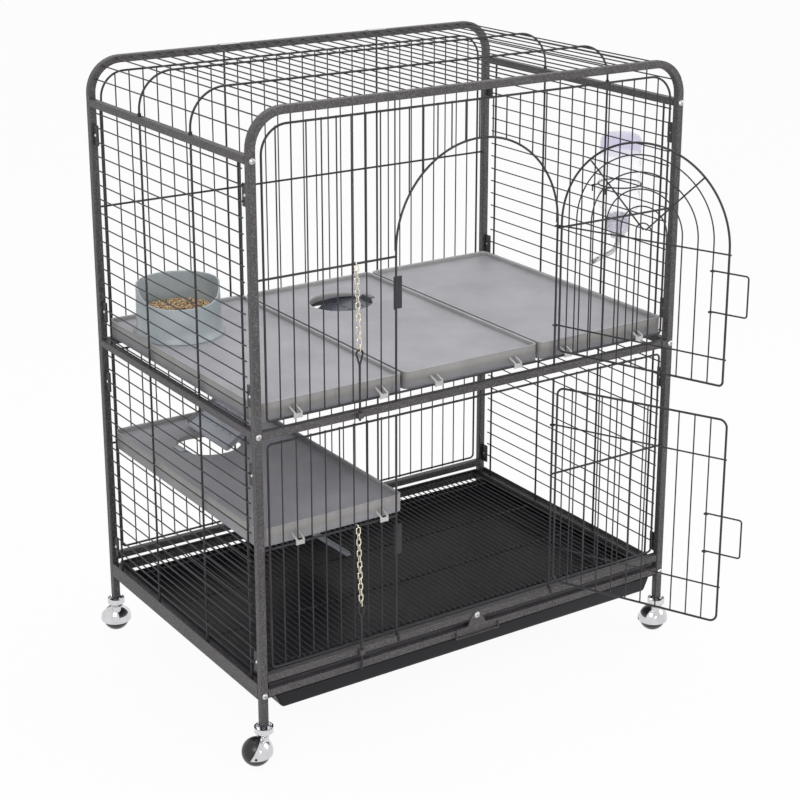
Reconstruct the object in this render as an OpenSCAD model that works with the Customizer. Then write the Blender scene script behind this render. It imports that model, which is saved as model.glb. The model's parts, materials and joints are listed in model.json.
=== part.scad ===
// Two-storey ferret cage on ball casters. Two bent square-tube arches, joined by rails, carry welded
// wire panels, two swinging doors, clip-in trays, ramps, a floor grid and a slide-out pan.
// Axes: X to the right, Y to the back, Z up, in millimetres. The origin is on the floor, under the
// middle of the frame. Heights (names ending in _z) are measured from the floor.

/* [Frame] */
// Distance between the post centres, left to right
frame_w = 900; // [860:10:940]
// Distance between the post centres, front to back
frame_d = 600; // [560:10:640]
// Side of the square tube
tube_w = 14; // [13:0.5:16]
// Wall thickness of the tube
tube_wall = 1.2; // [1:0.1:1.5]
// Radius on the tube's outer edges
tube_edge_r = 2; // [1.7:0.1:2.5]
// Bend radius of the arches, at the tube's centre
bend_r = 60; // [50:1:70]
// Height of the arches' top tubes, at the centre
arch_z = 1154; // [1140:1:1170]
// Height of the post feet, where the casters plug in
foot_z = 76; // [72:1:80]
// Distance from the arches' top tubes down to the upper side rails, between centres
top_rail_drop = 76; // [70:1:86]
// Height of the middle rails, at the centre
mid_rail_z = 613; // [608:1:618]
// Height of the front and rear rails over the floor grid's edge
grid_rail_z = 166; // [165:0.5:169]
// Height of the front and rear rails under the floor grid's edge
pan_rail_z = 138; // [136:0.5:139]
// Sheet thickness of the folded lower side rails
fold_t = 1.5; // [1.2:0.1:2]
// Width of the ledge that carries the floor grid
ledge_w = 28.5; // [26:0.5:30]
// Shank diameter of the frame bolts
bolt_d = 6; // [5:0.5:6]
// How far each bolt reaches into its rail
bolt_reach = 20; // [15:1:24]

/* [Wire panels] */
// Diameter of the border wires, door edges and struts
border_d = 4; // [3.5:0.1:4.5]
// Diameter of the filling wires
fill_d = 2.5; // [2:0.1:3]
// Spaces between upright wires on each side of the doorway
side_spaces = 9; // [8:1:9]
// Spaces between upright wires across the doorway
middle_spaces = 12; // [12:2:14]
// Clear gap between the middle rail and the upper panel's border
upper_gap = 12; // [9:1:13]
// Clear gap between the upper panel's border and the arch
arch_gap = 14; // [11:1:17]
// Clear gap between the middle rail and the lower panel's border
lower_gap = 11; // [9:1:13]
// Clear gap between the grid rail and the lower panel's border
floor_gap = 6; // [4:0.5:7]
// Clear gap between the front and rear panels' borders and the posts
side_gap = 11; // [9:1:13]
// Bend radius at the upper panel's top corners
panel_top_r = 48; // [40:1:55]
// Bend radius at the other panel corners
panel_corner_r = 8; // [6:1:10]
// Distance of the upper panels' crossbar under the spring of the doorway's arch
upper_bar_drop = 11; // [8:1:16]
// Height of the lower panels' crossbar, which carries the lower shelf
lower_bar_z = 404; // [398:1:410]
// Spacing of the level wires in the side panels
side_pitch = 27; // [26:0.5:28]
// Distance of the side panels' inner uprights from the middle
side_strut_y = 97; // [90:1:105]
// Gap between a side panel's outer uprights and the posts
side_upright_gap = 30; // [26:0.5:32]
// Width of the side panels' mounting tabs
tab_w = 18; // [16:0.5:20]
// Height of the side panels' mounting tabs
tab_h = 38; // [34:1:42]
// Spacing of the floor grid's wires
grid_pitch = 12.7; // [12:0.1:14]

/* [Doors] */
// Width of the doorway between its edge wires' centres
doorway_w = 347.2; // [340:0.2:350]
// Gap between a door's border wire and the doorway's edge wire
door_gap = 6.6; // [6:0.2:8]
// Distance from the arches' top tubes down to the spring of the upper doorway's arch
arch_spring_drop = 264; // [260:1:268]
// How far the upper door's inner arches sit above its border arch
arch_rise = 9; // [7:1:10]
// Height of the upper door's lower edge
upper_door_z = 649; // [646:1:654]
// Heights of the lower door's lower and upper edges
lower_door_z = [189, 577];
// Spaces between the uprights of a door
door_bars = 10; // [8:2:10]
// Diameter of the doors' hinge bars and of the latch bails
bar_d = 3; // [2.6:0.1:3.2]
// Running clearance of a wire eye on the wire it turns on
eye_clear = 0.1; // [0.05:0.01:0.1]
// How far the upper door stands open
upper_open = 110; // [60:1:140]
// How far the lower door stands open
lower_open = 115; // [60:1:140]
// Reach of a latch bail past the bar it swings on
bail_reach = 66; // [62:1:70]
// Length of the opening in a latch bail
bail_h = 73; // [68:1:78]

/* [Trays and ramps] */
// Gap between the trays and the posts' inner faces, front and back
tray_end_gap = 5; // [5:0.5:8]
// Gap between neighbouring trays
tray_gap = 3; // [2:0.5:4]
// Height of a tray's skirt under its deck
skirt_h = 25; // [22:1:28]
// Wall thickness of a tray
tray_t = 3; // [2.5:0.1:3.5]
// Height of the rim around a tray
rim_h = 6; // [4:0.5:7]
// Corner radius of a tray
tray_r = 13; // [10:1:16]
// Diameter of the climbing hole in a tray
hole_d = 124; // [118:1:130]
// Distance of the middle tray's hole from the tray's rear edge
upper_hole_back = 128; // [120:1:136]
// Distance of the lower shelf's hole from the shelf's rear edge
lower_hole_back = 145; // [137:1:150]
// Distance of the lower shelf's hole from the shelf's middle, towards the posts
lower_hole_side = 13; // [5:1:20]
// Width of a ramp
ramp_w = 168; // [150:1:170]
// Height of a ramp's side flanges
flange_h = 12; // [10:1:14]
// Reach of the upper ramp to the left, from the middle of its hole to its foot on the lower shelf
upper_ramp_run = 307; // [295:1:330]
// Reach of the lower ramp to the right, from the middle of its hole to its foot on the floor grid
lower_ramp_run = 262; // [230:1:280]

/* [Floor] */
// Depth of the pan's walls
pan_h = 28; // [24:1:30]
// Wall thickness of the pan
pan_t = 1.8; // [1.5:0.1:2]
// How far the pan's sides lean in towards its floor
pan_draft = 13; // [8:1:16]
// Running clearance between the pan's rim and the rails it slides on
slide_clear = 0.1; // [0.05:0.01:0.15]
// Width of the pan latch's foot
latch_w = 97; // [85:1:105]

/* [Bowl and bottle] */
// Place of the bowl from the middle of the left tray's rear edge
bowl_from_edge = [-58, -126];
// Radius of the bowl's flared foot
bowl_base_r = 86; // [82:1:88]
// Radius of the bowl at its rim
bowl_top_r = 78; // [75:1:80]
// Height of the bowl's back
bowl_h = 98; // [92:1:104]
// Height of the bowl's low front lip
bowl_lip_h = 66; // [60:1:72]
// Distance of the bottle's axis outside the side wires
bottle_out = 50; // [46:1:54]
// Front-back place of the bottle
bottle_y = -82; // [-82:1:-78]
// Radius of the bottle
bottle_r = 41; // [38:1:42]
// Height of the bottle without its cap
bottle_h = 178; // [165:1:190]

/* [Casters and pins] */
// Diameter of a caster's ball
ball_d = 52; // [50:1:54]
// Offset of the ball from the stem it swivels on
caster_trail = 14; // [12:1:15]
// Diameter of a caster's stem
stem_d = 8; // [7:0.5:8]
// Length of the stem inside the post
stem_l = 38; // [30:1:45]
// Radial running clearance of stems, axles and pivots
pivot_clear = 0.05; // [0.02:0.01:0.1]
// Left-right place of the lock pins
pin_x = -255; // [-256:1:-250]
// Diameter of the lock pins
pin_d = 4; // [3.6:0.1:4.2]
// Wire diameter of the chain links
link_d = 1.6; // [1.4:0.1:1.8]

/* [Hidden] */

$fn = 48;
// Wires that are welded end to end or side to side stay separate solids, this far apart.
weld = 0.02;
// Extra length on a cutter, so that it passes its faces.
over = 1;

half_tube = tube_w / 2;
post_x = frame_w / 2;
post_y = frame_d / 2;
in_x = post_x - half_tube;    // the posts' inner faces
in_y = post_y - half_tube;
front_y = post_y + half_tube; // the posts' front and rear faces
border_r = border_d / 2;
fill_r = fill_d / 2;
bar_r = bar_d / 2;

top_rail_z = arch_z - top_rail_drop;
top_rail_under = top_rail_z - half_tube;
arch_spring_z = arch_z - arch_spring_drop;
upper_bar_z = arch_spring_z - upper_bar_drop;
mid_top = mid_rail_z + half_tube;
mid_under = mid_rail_z - half_tube;
grid_rail_top = grid_rail_z + half_tube;
ledge_z = pan_rail_z + half_tube;               // the floor grid's edges rest at this height
web_z = [pan_rail_z - 13, ledge_z + 9];         // lower and upper edges of a folded side rail
runner_z = web_z[0] + fold_t;                   // the pan's rim slides at this height
floor_bolt_z = (runner_z + ledge_z - fold_t) / 2;
ledge_x = post_x + half_tube - fold_t - ledge_w; // inner edges of the ledge and the runner
bolt_r = bolt_d / 2;

// Panel heights and the columns of upright wires
panel_x = in_x - side_gap - border_r;           // half the width of the front and rear borders
upper_z = [mid_top + upper_gap + border_r, arch_z - half_tube - arch_gap - border_r];
lower_z = [grid_rail_top + floor_gap + border_r, mid_under - lower_gap - border_r];
edge_x = doorway_w / 2;
side_step = (panel_x - edge_x) / side_spaces;
middle_step = doorway_w / middle_spaces;
side_columns = [for (s = [-1, 1], k = [1 : side_spaces - 1]) s * (panel_x - k * side_step)];
middle_columns = [for (k = [1 - middle_spaces / 2 : middle_spaces / 2 - 1]) k * middle_step];
fill_y = border_r + fill_r + weld;              // filling wires lie this far behind the borders
wire_over = 1.5;                                // filling wires end this far past the border's centre

// Side panels: the lowest level wires, and the heights of the tabs' middles
upper_first_z = mid_top + 10;
lower_first_z = web_z[1] + 35;
upper_tab_z = [mid_top + 58, top_rail_under - 52];
lower_tab_z = [web_z[1] + 38, mid_under - 68];
tab_t = 3;
tab_screw_r = 1.5;
tab_lap = 3;                                    // level wires lie on the tabs over this width

// Doors: the hinge runs up the right edge wire of the doorway.
hinge = [edge_x, -post_y];
eye_r = border_r + eye_clear + bar_r;           // centre radius of a hinge eye
door_r = edge_x - door_gap - border_r;          // half the width of a door, at its border wire
door_bar_y = -eye_r;                            // hinge bars pass in front, the uprights behind them
door_border_y = door_bar_y + bar_r + border_r + weld;
door_fill_y = door_bar_y + bar_r + fill_r + weld;
door_step = 2 * door_r / (door_bars + 1);
door_columns = [for (k = [0 : door_bars - 1]) (k - (door_bars - 1) / 2) * door_step];
hinge_rest = 0.3;                               // the upper eye rides this far over the crossbar
upper_bars = [upper_bar_z + border_r + bar_r + hinge_rest, upper_door_z + 47];
lower_bars = [lower_door_z[1] - 75, lower_door_z[0] + 67];
bail_u = edge_x + door_columns[door_bars - 1];  // the bail swings on the last upright
bail_eye_r = fill_r + 0.35 + bar_r;
upper_bail_z = upper_bar_z - 65;
lower_bail_z = lower_bar_z - 47;

// Trays. Their skirts reach a little past the posts' inner faces, towards the level wires.
tray_w = (2 * in_x + 4 - 2 * tray_gap) / 3;
tray_half_y = in_y - tray_end_gap;
tray_x = tray_w + tray_gap;                     // centre of the outer trays
upper_deck = upper_z[0] + border_r + 18;
lower_deck = lower_bar_z + 24;
upper_hole = [0, tray_half_y - upper_hole_back];
lower_hole = [-tray_x - lower_hole_side, tray_half_y - lower_hole_back];
bowl_at = [bowl_from_edge[0] - tray_x, bowl_from_edge[1] + tray_half_y];
outer_clips = [for (k = [2, side_spaces - 1]) panel_x - k * side_step];
middle_clips = [-3 * middle_step, 3 * middle_step];

// Floor grid and pan
grid_rim = [in_x - 6, post_y - 1];              // half sizes of the grid's flat rim
grid_rim_t = 3;
grid_h = 6.5;
grid_wire_z = ledge_z + 4;
grid_top = grid_wire_z + fill_r;
pan_rim_z = runner_z + slide_clear;
pan_rim = in_x - 2;                             // half width of the pan's rim
pan_side = ledge_x - 0.5;                       // half width of the pan's mouth
pan_y = [-front_y + 2, in_y - 6];
latch_z = grid_rail_z;
latch_t = 1.6;
latch_screw_r = 2.5;
latch_screw_reach = 9;                          // how far the latch's screw reaches into the rail

// Bottle, on the right side panel
bottle_x = post_x + fill_y + bottle_out;
hanger_wire_z = upper_first_z + 9 * side_pitch;
cap_h = 47;
cap_r = 24;
neck_h = 12;                                    // the cap grips this much of the bottle's neck
cap_under = hanger_wire_z - 108;                // the cap's lower face, where the sipper tube leaves it
bottle_z = cap_under + cap_h - neck_h;          // the bottle's mouth, pointing down
neck_r = 18;
sipper_r = 4.75;
sipper_bend = 25;
sipper_angle = 75;
hanger_z = hanger_wire_z + fill_r + bar_r + weld;
hanger_r = bottle_r + bar_r + 0.1;

// Casters
ball_r = ball_d / 2;
hood_r = ball_r + 4;
hood_in = ball_r + 1.6;
axle_r = 2.5;
cup_r = 17;
cup_h = 19;
plug_h = 44;
// Turn of each caster about its stem at rest
caster_turns = [150, 72, 72, 72];

// Lock pins and their chains
pin_r = pin_d / 2;
pin_y = -front_y - 4.5;
upper_pin_z = mid_under - 2;
lower_pin_z = pan_rail_z - half_tube;
pin_l = 100;
pin_eye_r = 6.5;
pin_eye_z = pin_l + 20;                         // centre of a pin's eye over its lower end
pin_wire_r = 1.6;
link_pitch = 9.4;
link_play = 0.6;                                // clearance between neighbouring links

// Colours
frame_grey = [0.20, 0.20, 0.21];
wire_black = [0.10, 0.10, 0.11];
tray_grey = [0.50, 0.51, 0.50];
pan_black = [0.06, 0.06, 0.07];
chrome = [0.80, 0.80, 0.82];
brass = [0.80, 0.72, 0.52];
ramp_grey = [0.42, 0.45, 0.50];
bowl_grey = [0.56, 0.58, 0.59];
clear_plastic = [0.85, 0.90, 0.92];

// ---------------------------------------------------------------- shared shapes

// Square with rounded corners
module rounded_square(side, r) {
    square([side - 2 * r, side], center = true);
    square([side, side - 2 * r], center = true);
    for (x = [-1, 1], y = [-1, 1])
        translate([x, y] * (side / 2 - r)) circle(r);
}

// Cross-section of the frame's hollow tube
module tube_section() {
    difference() {
        rounded_square(tube_w, tube_edge_r);
        rounded_square(tube_w - 2 * tube_wall, tube_edge_r - tube_wall);
    }
}

// Straight wire from a to b
module wire(a, b, r) {
    d = b - a;
    translate(a) rotate([0, acos(d[2] / norm(d)), atan2(d[1], d[0])]) cylinder(r = r, h = norm(d));
}

// Wire bent about Z, from angle a0 to a1
module wire_bend(bend, r, a0, a1) {
    rotate([0, 0, a0]) rotate_extrude(angle = a1 - a0) translate([bend, 0]) circle(r);
}

// The same bend, standing in the XZ plane
module wire_arc(bend, r, a0, a1) {
    rotate([90, 0, 0]) wire_bend(bend, r, a0, a1);
}

// Half circle of wire over the origin, in short lengths that end a weld apart
module wire_arch(bend, r, lengths) {
    step = 180 / lengths;
    gap = weld / bend * 180 / PI;
    for (k = [0 : lengths - 1])
        wire_arc(bend, r, k * step + (k > 0 ? gap : 0), (k + 1) * step);
}

// Level wire along X at height z, broken at each x in breaks by an upright border wire
module broken_wire(x0, x1, z, r, breaks = []) {
    ends = concat([x0 - border_r - weld], breaks, [x1 + border_r + weld]);
    for (i = [0 : len(ends) - 2])
        wire([ends[i] + border_r + weld, 0, z], [ends[i + 1] - border_r - weld, 0, z], r);
}

// Rectangle of border wire in the XZ plane: half width w, from z[0] to z[1], with its corners bent
module border(w, z, low_r, high_r, breaks = []) {
    broken_wire(weld - w + low_r, w - low_r - weld, z[0], border_r, breaks);
    broken_wire(weld - w + high_r, w - high_r - weld, z[1], border_r);
    for (s = [-1, 1]) {
        wire([s * w, 0, z[0] + low_r + weld], [s * w, 0, z[1] - high_r - weld], border_r);
        mirror([s < 0 ? 1 : 0, 0, 0]) {
            translate([w - low_r, 0, z[0] + low_r]) wire_arc(low_r, border_r, -90, 0);
            translate([w - high_r, 0, z[1] - high_r]) wire_arc(high_r, border_r, 0, 90);
        }
    }
}

// Height of a border's top at x, where its corners are bent to radius r
function border_top(x, w, top, r) =
    abs(x) <= w - r ? top : top - r + sqrt(pow(r, 2) - pow(abs(x) - w + r, 2));

// Height of an arch of radius r about spring height z, at x
function arch_top(x, r, z) = z + sqrt(pow(r, 2) - pow(x, 2));

// Cross recess of a screw head, cut from y = 0 inwards
module cross_recess(width, depth) {
    for (a = [0, 90]) rotate([0, a, 0])
        translate([-width / 2, -over, -width / 10]) cube([width, depth + over, width / 5]);
}

// Copies for the left (-1) and right (1) side
module on_side(s) {
    mirror([s < 0 ? 1 : 0, 0, 0]) children();
}

// ---------------------------------------------------------------- frame

// One bent arch with its two posts. The feet are plugged and bored for the caster stems.
module arch_tube(y) {
    color(frame_grey) translate([0, y, 0]) difference() {
        union() {
            for (s = [-1, 1]) on_side(s) {
                translate([post_x, 0, foot_z]) {
                    linear_extrude(arch_z - bend_r - foot_z) tube_section();
                    linear_extrude(plug_h) rounded_square(tube_w, tube_edge_r);
                }
                translate([post_x - bend_r, 0, arch_z - bend_r]) rotate([90, 0, 0])
                    rotate_extrude(angle = 90) translate([bend_r, 0]) tube_section();
            }
            translate([bend_r - post_x, 0, arch_z]) rotate([0, 90, 0])
                linear_extrude(2 * (post_x - bend_r)) tube_section();
        }
        for (s = [-1, 1]) translate([s * post_x, 0, 0]) {
            translate([0, 0, foot_z - over]) cylinder(r = stem_d / 2 + pivot_clear, h = plug_h + 2 * over);
            for (z = [top_rail_z, mid_rail_z, floor_bolt_z])
                translate([0, tube_w, z]) rotate([90, 0, 0]) cylinder(r = bolt_r + 0.3, h = 2 * tube_w);
        }
    }
}

// Straight tube between the posts, along X
module cross_rail(y, z) {
    color(frame_grey) translate([-in_x, y, z]) rotate([0, 90, 0]) linear_extrude(2 * in_x) tube_section();
}

// The front rail over the grid's edge also takes the latch's screw in a block at its middle.
module front_grid_rail() {
    color(frame_grey) difference() {
        union() {
            cross_rail(-post_y, grid_rail_z);
            translate([-10, -post_y, grid_rail_z]) rotate([0, 90, 0])
                linear_extrude(20) rounded_square(tube_w, tube_edge_r);
        }
        translate([0, -front_y - over, latch_z]) rotate([-90, 0, 0])
            cylinder(r = latch_screw_r + pivot_clear, h = latch_screw_reach + 1 + over);
    }
}

// Bore for a frame bolt in each end of a rail along Y
module bolt_bores(z) {
    for (s = [-1, 1]) translate([0, s * (in_y + over), z]) rotate([s * 90, 0, 0])
        cylinder(r = bolt_r + pivot_clear, h = bolt_reach + 2 + over);
}

// Tube along Y between the posts of one side, with a threaded plug in each end
module side_rail(s, z) {
    color(frame_grey) difference() {
        translate([s * post_x, 0, z]) rotate([90, 0, 0]) {
            linear_extrude(2 * in_y, center = true) tube_section();
            for (e = [-1, 1]) translate([0, 0, e * (in_y - bolt_reach / 2 - 2)])
                linear_extrude(bolt_reach + 4, center = true) rounded_square(tube_w, tube_edge_r);
        }
        translate([s * post_x, 0, 0]) bolt_bores(z);
    }
}

// Folded lower side rail: a ledge for the grid, a runner for the pan, and a threaded block in each end
module floor_rail(s) {
    outer = post_x + half_tube;
    block_h = ledge_z - fold_t - runner_z;
    color(frame_grey) difference() {
        on_side(s) {
            translate([outer - fold_t, -in_y, web_z[0]]) cube([fold_t, 2 * in_y, web_z[1] - web_z[0]]);
            for (z = [ledge_z - fold_t, web_z[0]])
                translate([ledge_x, -in_y, z]) cube([ledge_w, 2 * in_y, fold_t]);
            for (e = [-in_y, in_y - bolt_reach - 4])
                translate([in_x, e, runner_z]) cube([tube_w - fold_t, bolt_reach + 4, block_h]);
        }
        translate([s * post_x, 0, 0]) bolt_bores(floor_bolt_z);
    }
}

// Domed bolt along Y, with its head on the face at y = 0
module frame_bolt() {
    head_r = 5.6;
    head_h = 3.4;
    difference() {
        rotate([90, 0, 0]) rotate_extrude()
            polygon([[0, 0], [head_r, 0], [head_r, 1], [head_r - 0.8, 2], [head_r - 2.4, head_h - 0.4], [0, head_h]]);
        translate([0, -head_h, 0]) cross_recess(6, 1.9);
    }
    rotate([-90, 0, 0]) cylinder(r = bolt_r, h = tube_w + bolt_reach);
}

module bolts(turn) {
    color(chrome) rotate([0, 0, turn])
        for (s = [-1, 1], z = [top_rail_z, mid_rail_z, floor_bolt_z])
            translate([s * post_x, -front_y, z]) frame_bolt();
}

// ---------------------------------------------------------------- wire panels

// Upright filling wire behind a panel's border
module fill_wire(x, z0, z1) {
    wire([x, fill_y, z0 - wire_over], [x, fill_y, z1 + wire_over], fill_r);
}

// The upper panels' struts run on to the arch beside these columns.
function is_strut(k) = k == 2;

module front_upper_panel() {
    tube_under = arch_z - half_tube - wire_over - weld;
    color(wire_black) translate([0, -post_y, 0]) {
        border(panel_x, upper_z, panel_corner_r, panel_top_r, [-edge_x, edge_x]);
        for (s = [-1, 1]) on_side(s) {
            broken_wire(edge_x + border_r + weld, in_x - weld, upper_bar_z, border_r, [panel_x]);
            wire([edge_x, 0, mid_top + weld], [edge_x, 0, arch_spring_z - weld], border_r);
            for (k = [1 : side_spaces - 1]) let (x = panel_x - k * side_step)
                fill_wire(x, upper_z[0], is_strut(k) ? tube_under : border_top(x, panel_x, upper_z[1], panel_top_r));
            fill_wire(edge_x, arch_spring_z, tube_under);
        }
        translate([0, 0, arch_spring_z]) wire_arch(edge_x, border_r, 8);
        for (x = middle_columns) fill_wire(x, arch_top(x, edge_x, arch_spring_z), upper_z[1]);
    }
}

module front_lower_panel() {
    color(wire_black) translate([0, -post_y, 0]) {
        border(panel_x, lower_z, panel_corner_r, panel_corner_r, [-edge_x, edge_x]);
        for (s = [-1, 1]) on_side(s) {
            broken_wire(edge_x + border_r + weld, in_x - weld, lower_bar_z, border_r, [panel_x]);
            wire([edge_x, 0, grid_rail_top + weld], [edge_x, 0, lower_z[1] - border_r - weld], border_r);
            edge_hook();
        }
        for (x = side_columns) fill_wire(x, lower_z[0], lower_z[1]);
    }
}

// Foot of a doorway edge, bent over the front of the grid rail
module edge_hook() {
    bend = 4;
    reach = half_tube + border_r + weld;
    translate([edge_x, 0, grid_rail_top + border_r + weld]) {
        wire([0, -border_r - weld, 0], [0, bend - reach, 0], border_r);
        translate([0, bend - reach, -bend]) rotate([0, 0, -90]) wire_arc(bend, border_r, 0, 90);
        wire([0, -reach, -bend], [0, -reach, -12], border_r);
    }
}

// Rear panels have no doorway. Two heavy struts stand behind the level wires.
module rear_panel(z, bar_z, top_r, strut_top) {
    color(wire_black) rotate([0, 0, 180]) translate([0, -post_y, 0]) {
        border(panel_x, z, panel_corner_r, top_r);
        broken_wire(weld - in_x, in_x - weld, bar_z, border_r, [-panel_x, panel_x]);
        for (x = concat(side_columns, middle_columns)) fill_wire(x, z[0], border_top(x, panel_x, z[1], top_r));
        for (s = [-1, 1])
            wire([s * edge_x, 2 * border_r + weld, z[0]], [s * edge_x, 2 * border_r + weld, strut_top], border_r);
    }
}

// Bent strips that hold the rear panel's struts to the arch
module rear_clips() {
    clip_t = 1;
    clip_w = 42;
    for (x = [-160, 176])
        color(tray_grey) translate([x - clip_w / 2, 0, arch_z + half_tube]) {
            translate([0, in_y + 1, 0]) cube([clip_w, tube_w - 1 + clip_t, clip_t]);
            translate([0, front_y, -tube_w + 2]) cube([clip_w, clip_t, tube_w - 2]);
        }
}

// Places of one side's tab screws, on the tabs' outer faces
module at_tabs(tabs) {
    for (e = [-1, 1], z = tabs) translate([post_x + border_r, e * (in_y - tab_w / 2), z]) children();
}

// Side panel from z[0] to z[1]: level wires outside, four uprights, and a tab on each post at heights tabs
module side_panel(s, z, first_z, tabs) {
    strut_y = in_y - side_upright_gap - border_r;
    wire_end = in_y - tab_w + tab_lap;
    color(wire_black) on_side(s) {
        for (y = [-strut_y, -side_strut_y, side_strut_y, strut_y])
            wire([post_x, y, z[0] + weld], [post_x, y, z[1] - weld], border_r);
        for (wire_z = [first_z : side_pitch : z[1] - 6])
            wire([post_x + fill_y, -wire_end, wire_z], [post_x + fill_y, wire_end, wire_z], fill_r);
        at_tabs(tabs) difference() {
            translate([-tab_t, -tab_w / 2, -tab_h / 2]) cube([tab_t, tab_w, tab_h]);
            rotate([0, 90, 0]) cylinder(r = tab_screw_r + pivot_clear, h = 3 * tab_t, center = true);
        }
    }
}

module side_upper_panel(s) {
    side_panel(s, [mid_top, top_rail_under], upper_first_z, upper_tab_z);
}

module side_lower_panel(s) {
    side_panel(s, [ledge_z, mid_under], lower_first_z, lower_tab_z);
}

// Small domed screws through the side panels' tabs
module tab_screws() {
    color(chrome) for (s = [-1, 1]) on_side(s) at_tabs(concat(upper_tab_z, lower_tab_z)) {
        rotate([0, 90, 0]) cylinder(r1 = 3, r2 = 2, h = 1.4, $fn = 24);
        rotate([0, -90, 0]) cylinder(r = tab_screw_r, h = tab_t + 1, $fn = 24);
    }
}

// Roof: wires along Y between the arches, and two heavy arches over them that stand on the side rails
module roof_panel() {
    strut_r = 66;
    strut_z = arch_z + half_tube - fill_r + 1;
    fill_bend = strut_r - border_r - fill_r - weld;
    centre = [post_x - strut_r, strut_z - strut_r];
    step = (panel_x - edge_x) / side_spaces;
    flat_wires = floor(centre[0] / step);
    foot = top_rail_z + half_tube + weld;
    color(wire_black) {
        for (k = [-flat_wires : flat_wires])
            wire([k * step, weld - in_y, centre[1] + fill_bend], [k * step, in_y - weld, centre[1] + fill_bend], fill_r);
        for (s = [-1, 1], k = [1 : 3])
            let (a = ((flat_wires + k) * step - centre[0]) / fill_bend * 180 / PI)
                translate([s * (centre[0] + fill_bend * sin(a)), 0, centre[1] + fill_bend * cos(a)])
                    wire([0, weld - in_y, 0], [0, in_y - weld, 0], fill_r);
        for (y = [-side_strut_y, side_strut_y]) translate([0, y, 0]) {
            wire([weld - centre[0], 0, strut_z], [centre[0] - weld, 0, strut_z], border_r);
            for (s = [-1, 1]) on_side(s) {
                translate([centre[0], 0, centre[1]]) wire_arc(strut_r, border_r, 0, 90);
                wire([post_x, 0, foot + 5 + weld], [post_x, 0, centre[1] - weld], border_r);
                translate([post_x, 0, foot]) cylinder(r = border_r + 1.4, h = 5);
            }
        }
    }
}

// ---------------------------------------------------------------- floor

// Flat rim with wires welded across it, and cross wires under them between the ledges
module floor_grid() {
    columns = floor((grid_rim[0] - grid_rim_t - 1) / grid_pitch);
    inner = [grid_rim[0] - grid_rim_t, grid_rim[1] - grid_rim_t];
    color(wire_black) {
        translate([0, 0, ledge_z]) linear_extrude(grid_h) difference() {
            square(2 * grid_rim, center = true);
            square(2 * inner, center = true);
        }
        for (k = [-columns : columns])
            wire([k * grid_pitch, -inner[1], grid_wire_z], [k * grid_pitch, inner[1], grid_wire_z], fill_r);
        for (y = [-231, -77, 77, 231])
            wire([ledge_w + over - in_x, y, grid_wire_z - fill_r - border_r - weld],
                 [in_x - ledge_w - over, y, grid_wire_z - fill_r - border_r - weld], border_r);
    }
}

// Slide-out pan: a floor, leaning sides with a rim along each, and upright ends, as flat solids
module pan() {
    rim_z = pan_h - pan_t;
    side_z = [pan_t + weld, rim_z - weld];
    function outside(z) = pan_side - pan_draft * (1 - z / pan_h);  // half widths at a height in the pan
    function inside(z) = outside(z - pan_t) - pan_t;
    module slab(y0, y1, points) {
        translate([0, y1, 0]) rotate([90, 0, 0]) linear_extrude(y1 - y0) polygon(points);
    }
    module level_slab(y0, y1, low, low_half, high, high_half) {
        slab(y0, y1, [[-low_half, low], [low_half, low], [high_half, high], [-high_half, high]]);
    }
    color(pan_black) translate([0, 0, pan_rim_z - rim_z]) {
        level_slab(pan_y[0], pan_y[1], 0, outside(0), pan_t, outside(pan_t));
        for (y = [pan_y[0], pan_y[1] - pan_t])
            level_slab(y, y + pan_t, side_z[0], inside(side_z[0]) - weld, pan_h, inside(pan_h) - weld);
        for (s = [-1, 1]) on_side(s) {
            slab(pan_y[0], pan_y[1], [for (z = side_z) [outside(z), z], for (k = [1, 0]) [inside(side_z[k]), side_z[k]]]);
            slab(pan_y[0], pan_y[1], [[inside(rim_z), rim_z], [pan_rim, rim_z], [pan_rim, pan_h], [inside(pan_h), pan_h]]);
        }
    }
}

// Swinging latch in front of the rails, hung on one screw
module pan_latch() {
    foot_z0 = pan_rim_z + pan_t + 0.5;
    foot_z1 = ledge_z + 2;
    half = latch_w / 2;
    color(frame_grey) difference() {
        translate([0, -front_y - 0.1, 0]) rotate([90, 0, 0]) linear_extrude(latch_t) {
            polygon([[-5, latch_z + 8], [5, latch_z + 8], [8, latch_z + 4], [22, foot_z1], [half - 5, foot_z1],
                     [half, foot_z1 - 5], [half, foot_z0], [-half, foot_z0], [-half, foot_z1 - 5],
                     [5 - half, foot_z1], [-22, foot_z1], [-8, latch_z + 4]]);
        }
        translate([0, -front_y, latch_z]) rotate([90, 0, 0])
            cylinder(r = latch_screw_r + pivot_clear, h = 3 * latch_t, center = true);
    }
}

module pan_latch_screw() {
    color(chrome) translate([0, -front_y, latch_z]) difference() {
        union() {
            translate([0, -latch_t - 0.2, 0]) rotate([90, 0, 0]) cylinder(r = 6, h = 1);
            translate([0, -latch_t - 1.2, 0]) rotate([90, 0, 0]) cylinder(r1 = 6, r2 = 4, h = 1.6);
            translate([0, -latch_t - 1, 0]) rotate([-90, 0, 0])
                cylinder(r = latch_screw_r, h = latch_t + 1 + latch_screw_reach);
        }
        translate([0, -latch_t - 2.8, 0]) cross_recess(6, 1.3);
    }
}

// ---------------------------------------------------------------- doors

// Places a door drawn with X running away from its hinge and Y towards the inside when shut
module hung(open_angle) {
    translate([hinge[0], hinge[1], 0]) rotate([0, 0, open_angle]) mirror([1, 0, 0]) children();
}

// Hinge bar with its eye curled round the doorway's edge wire
module hinge_bar(z) {
    translate([0, 0, z]) {
        wire_bend(eye_r, bar_r, 0, 270);
        wire([0, door_bar_y, 0], [edge_x + door_r + border_r, door_bar_y, 0], bar_r);
    }
}

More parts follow.
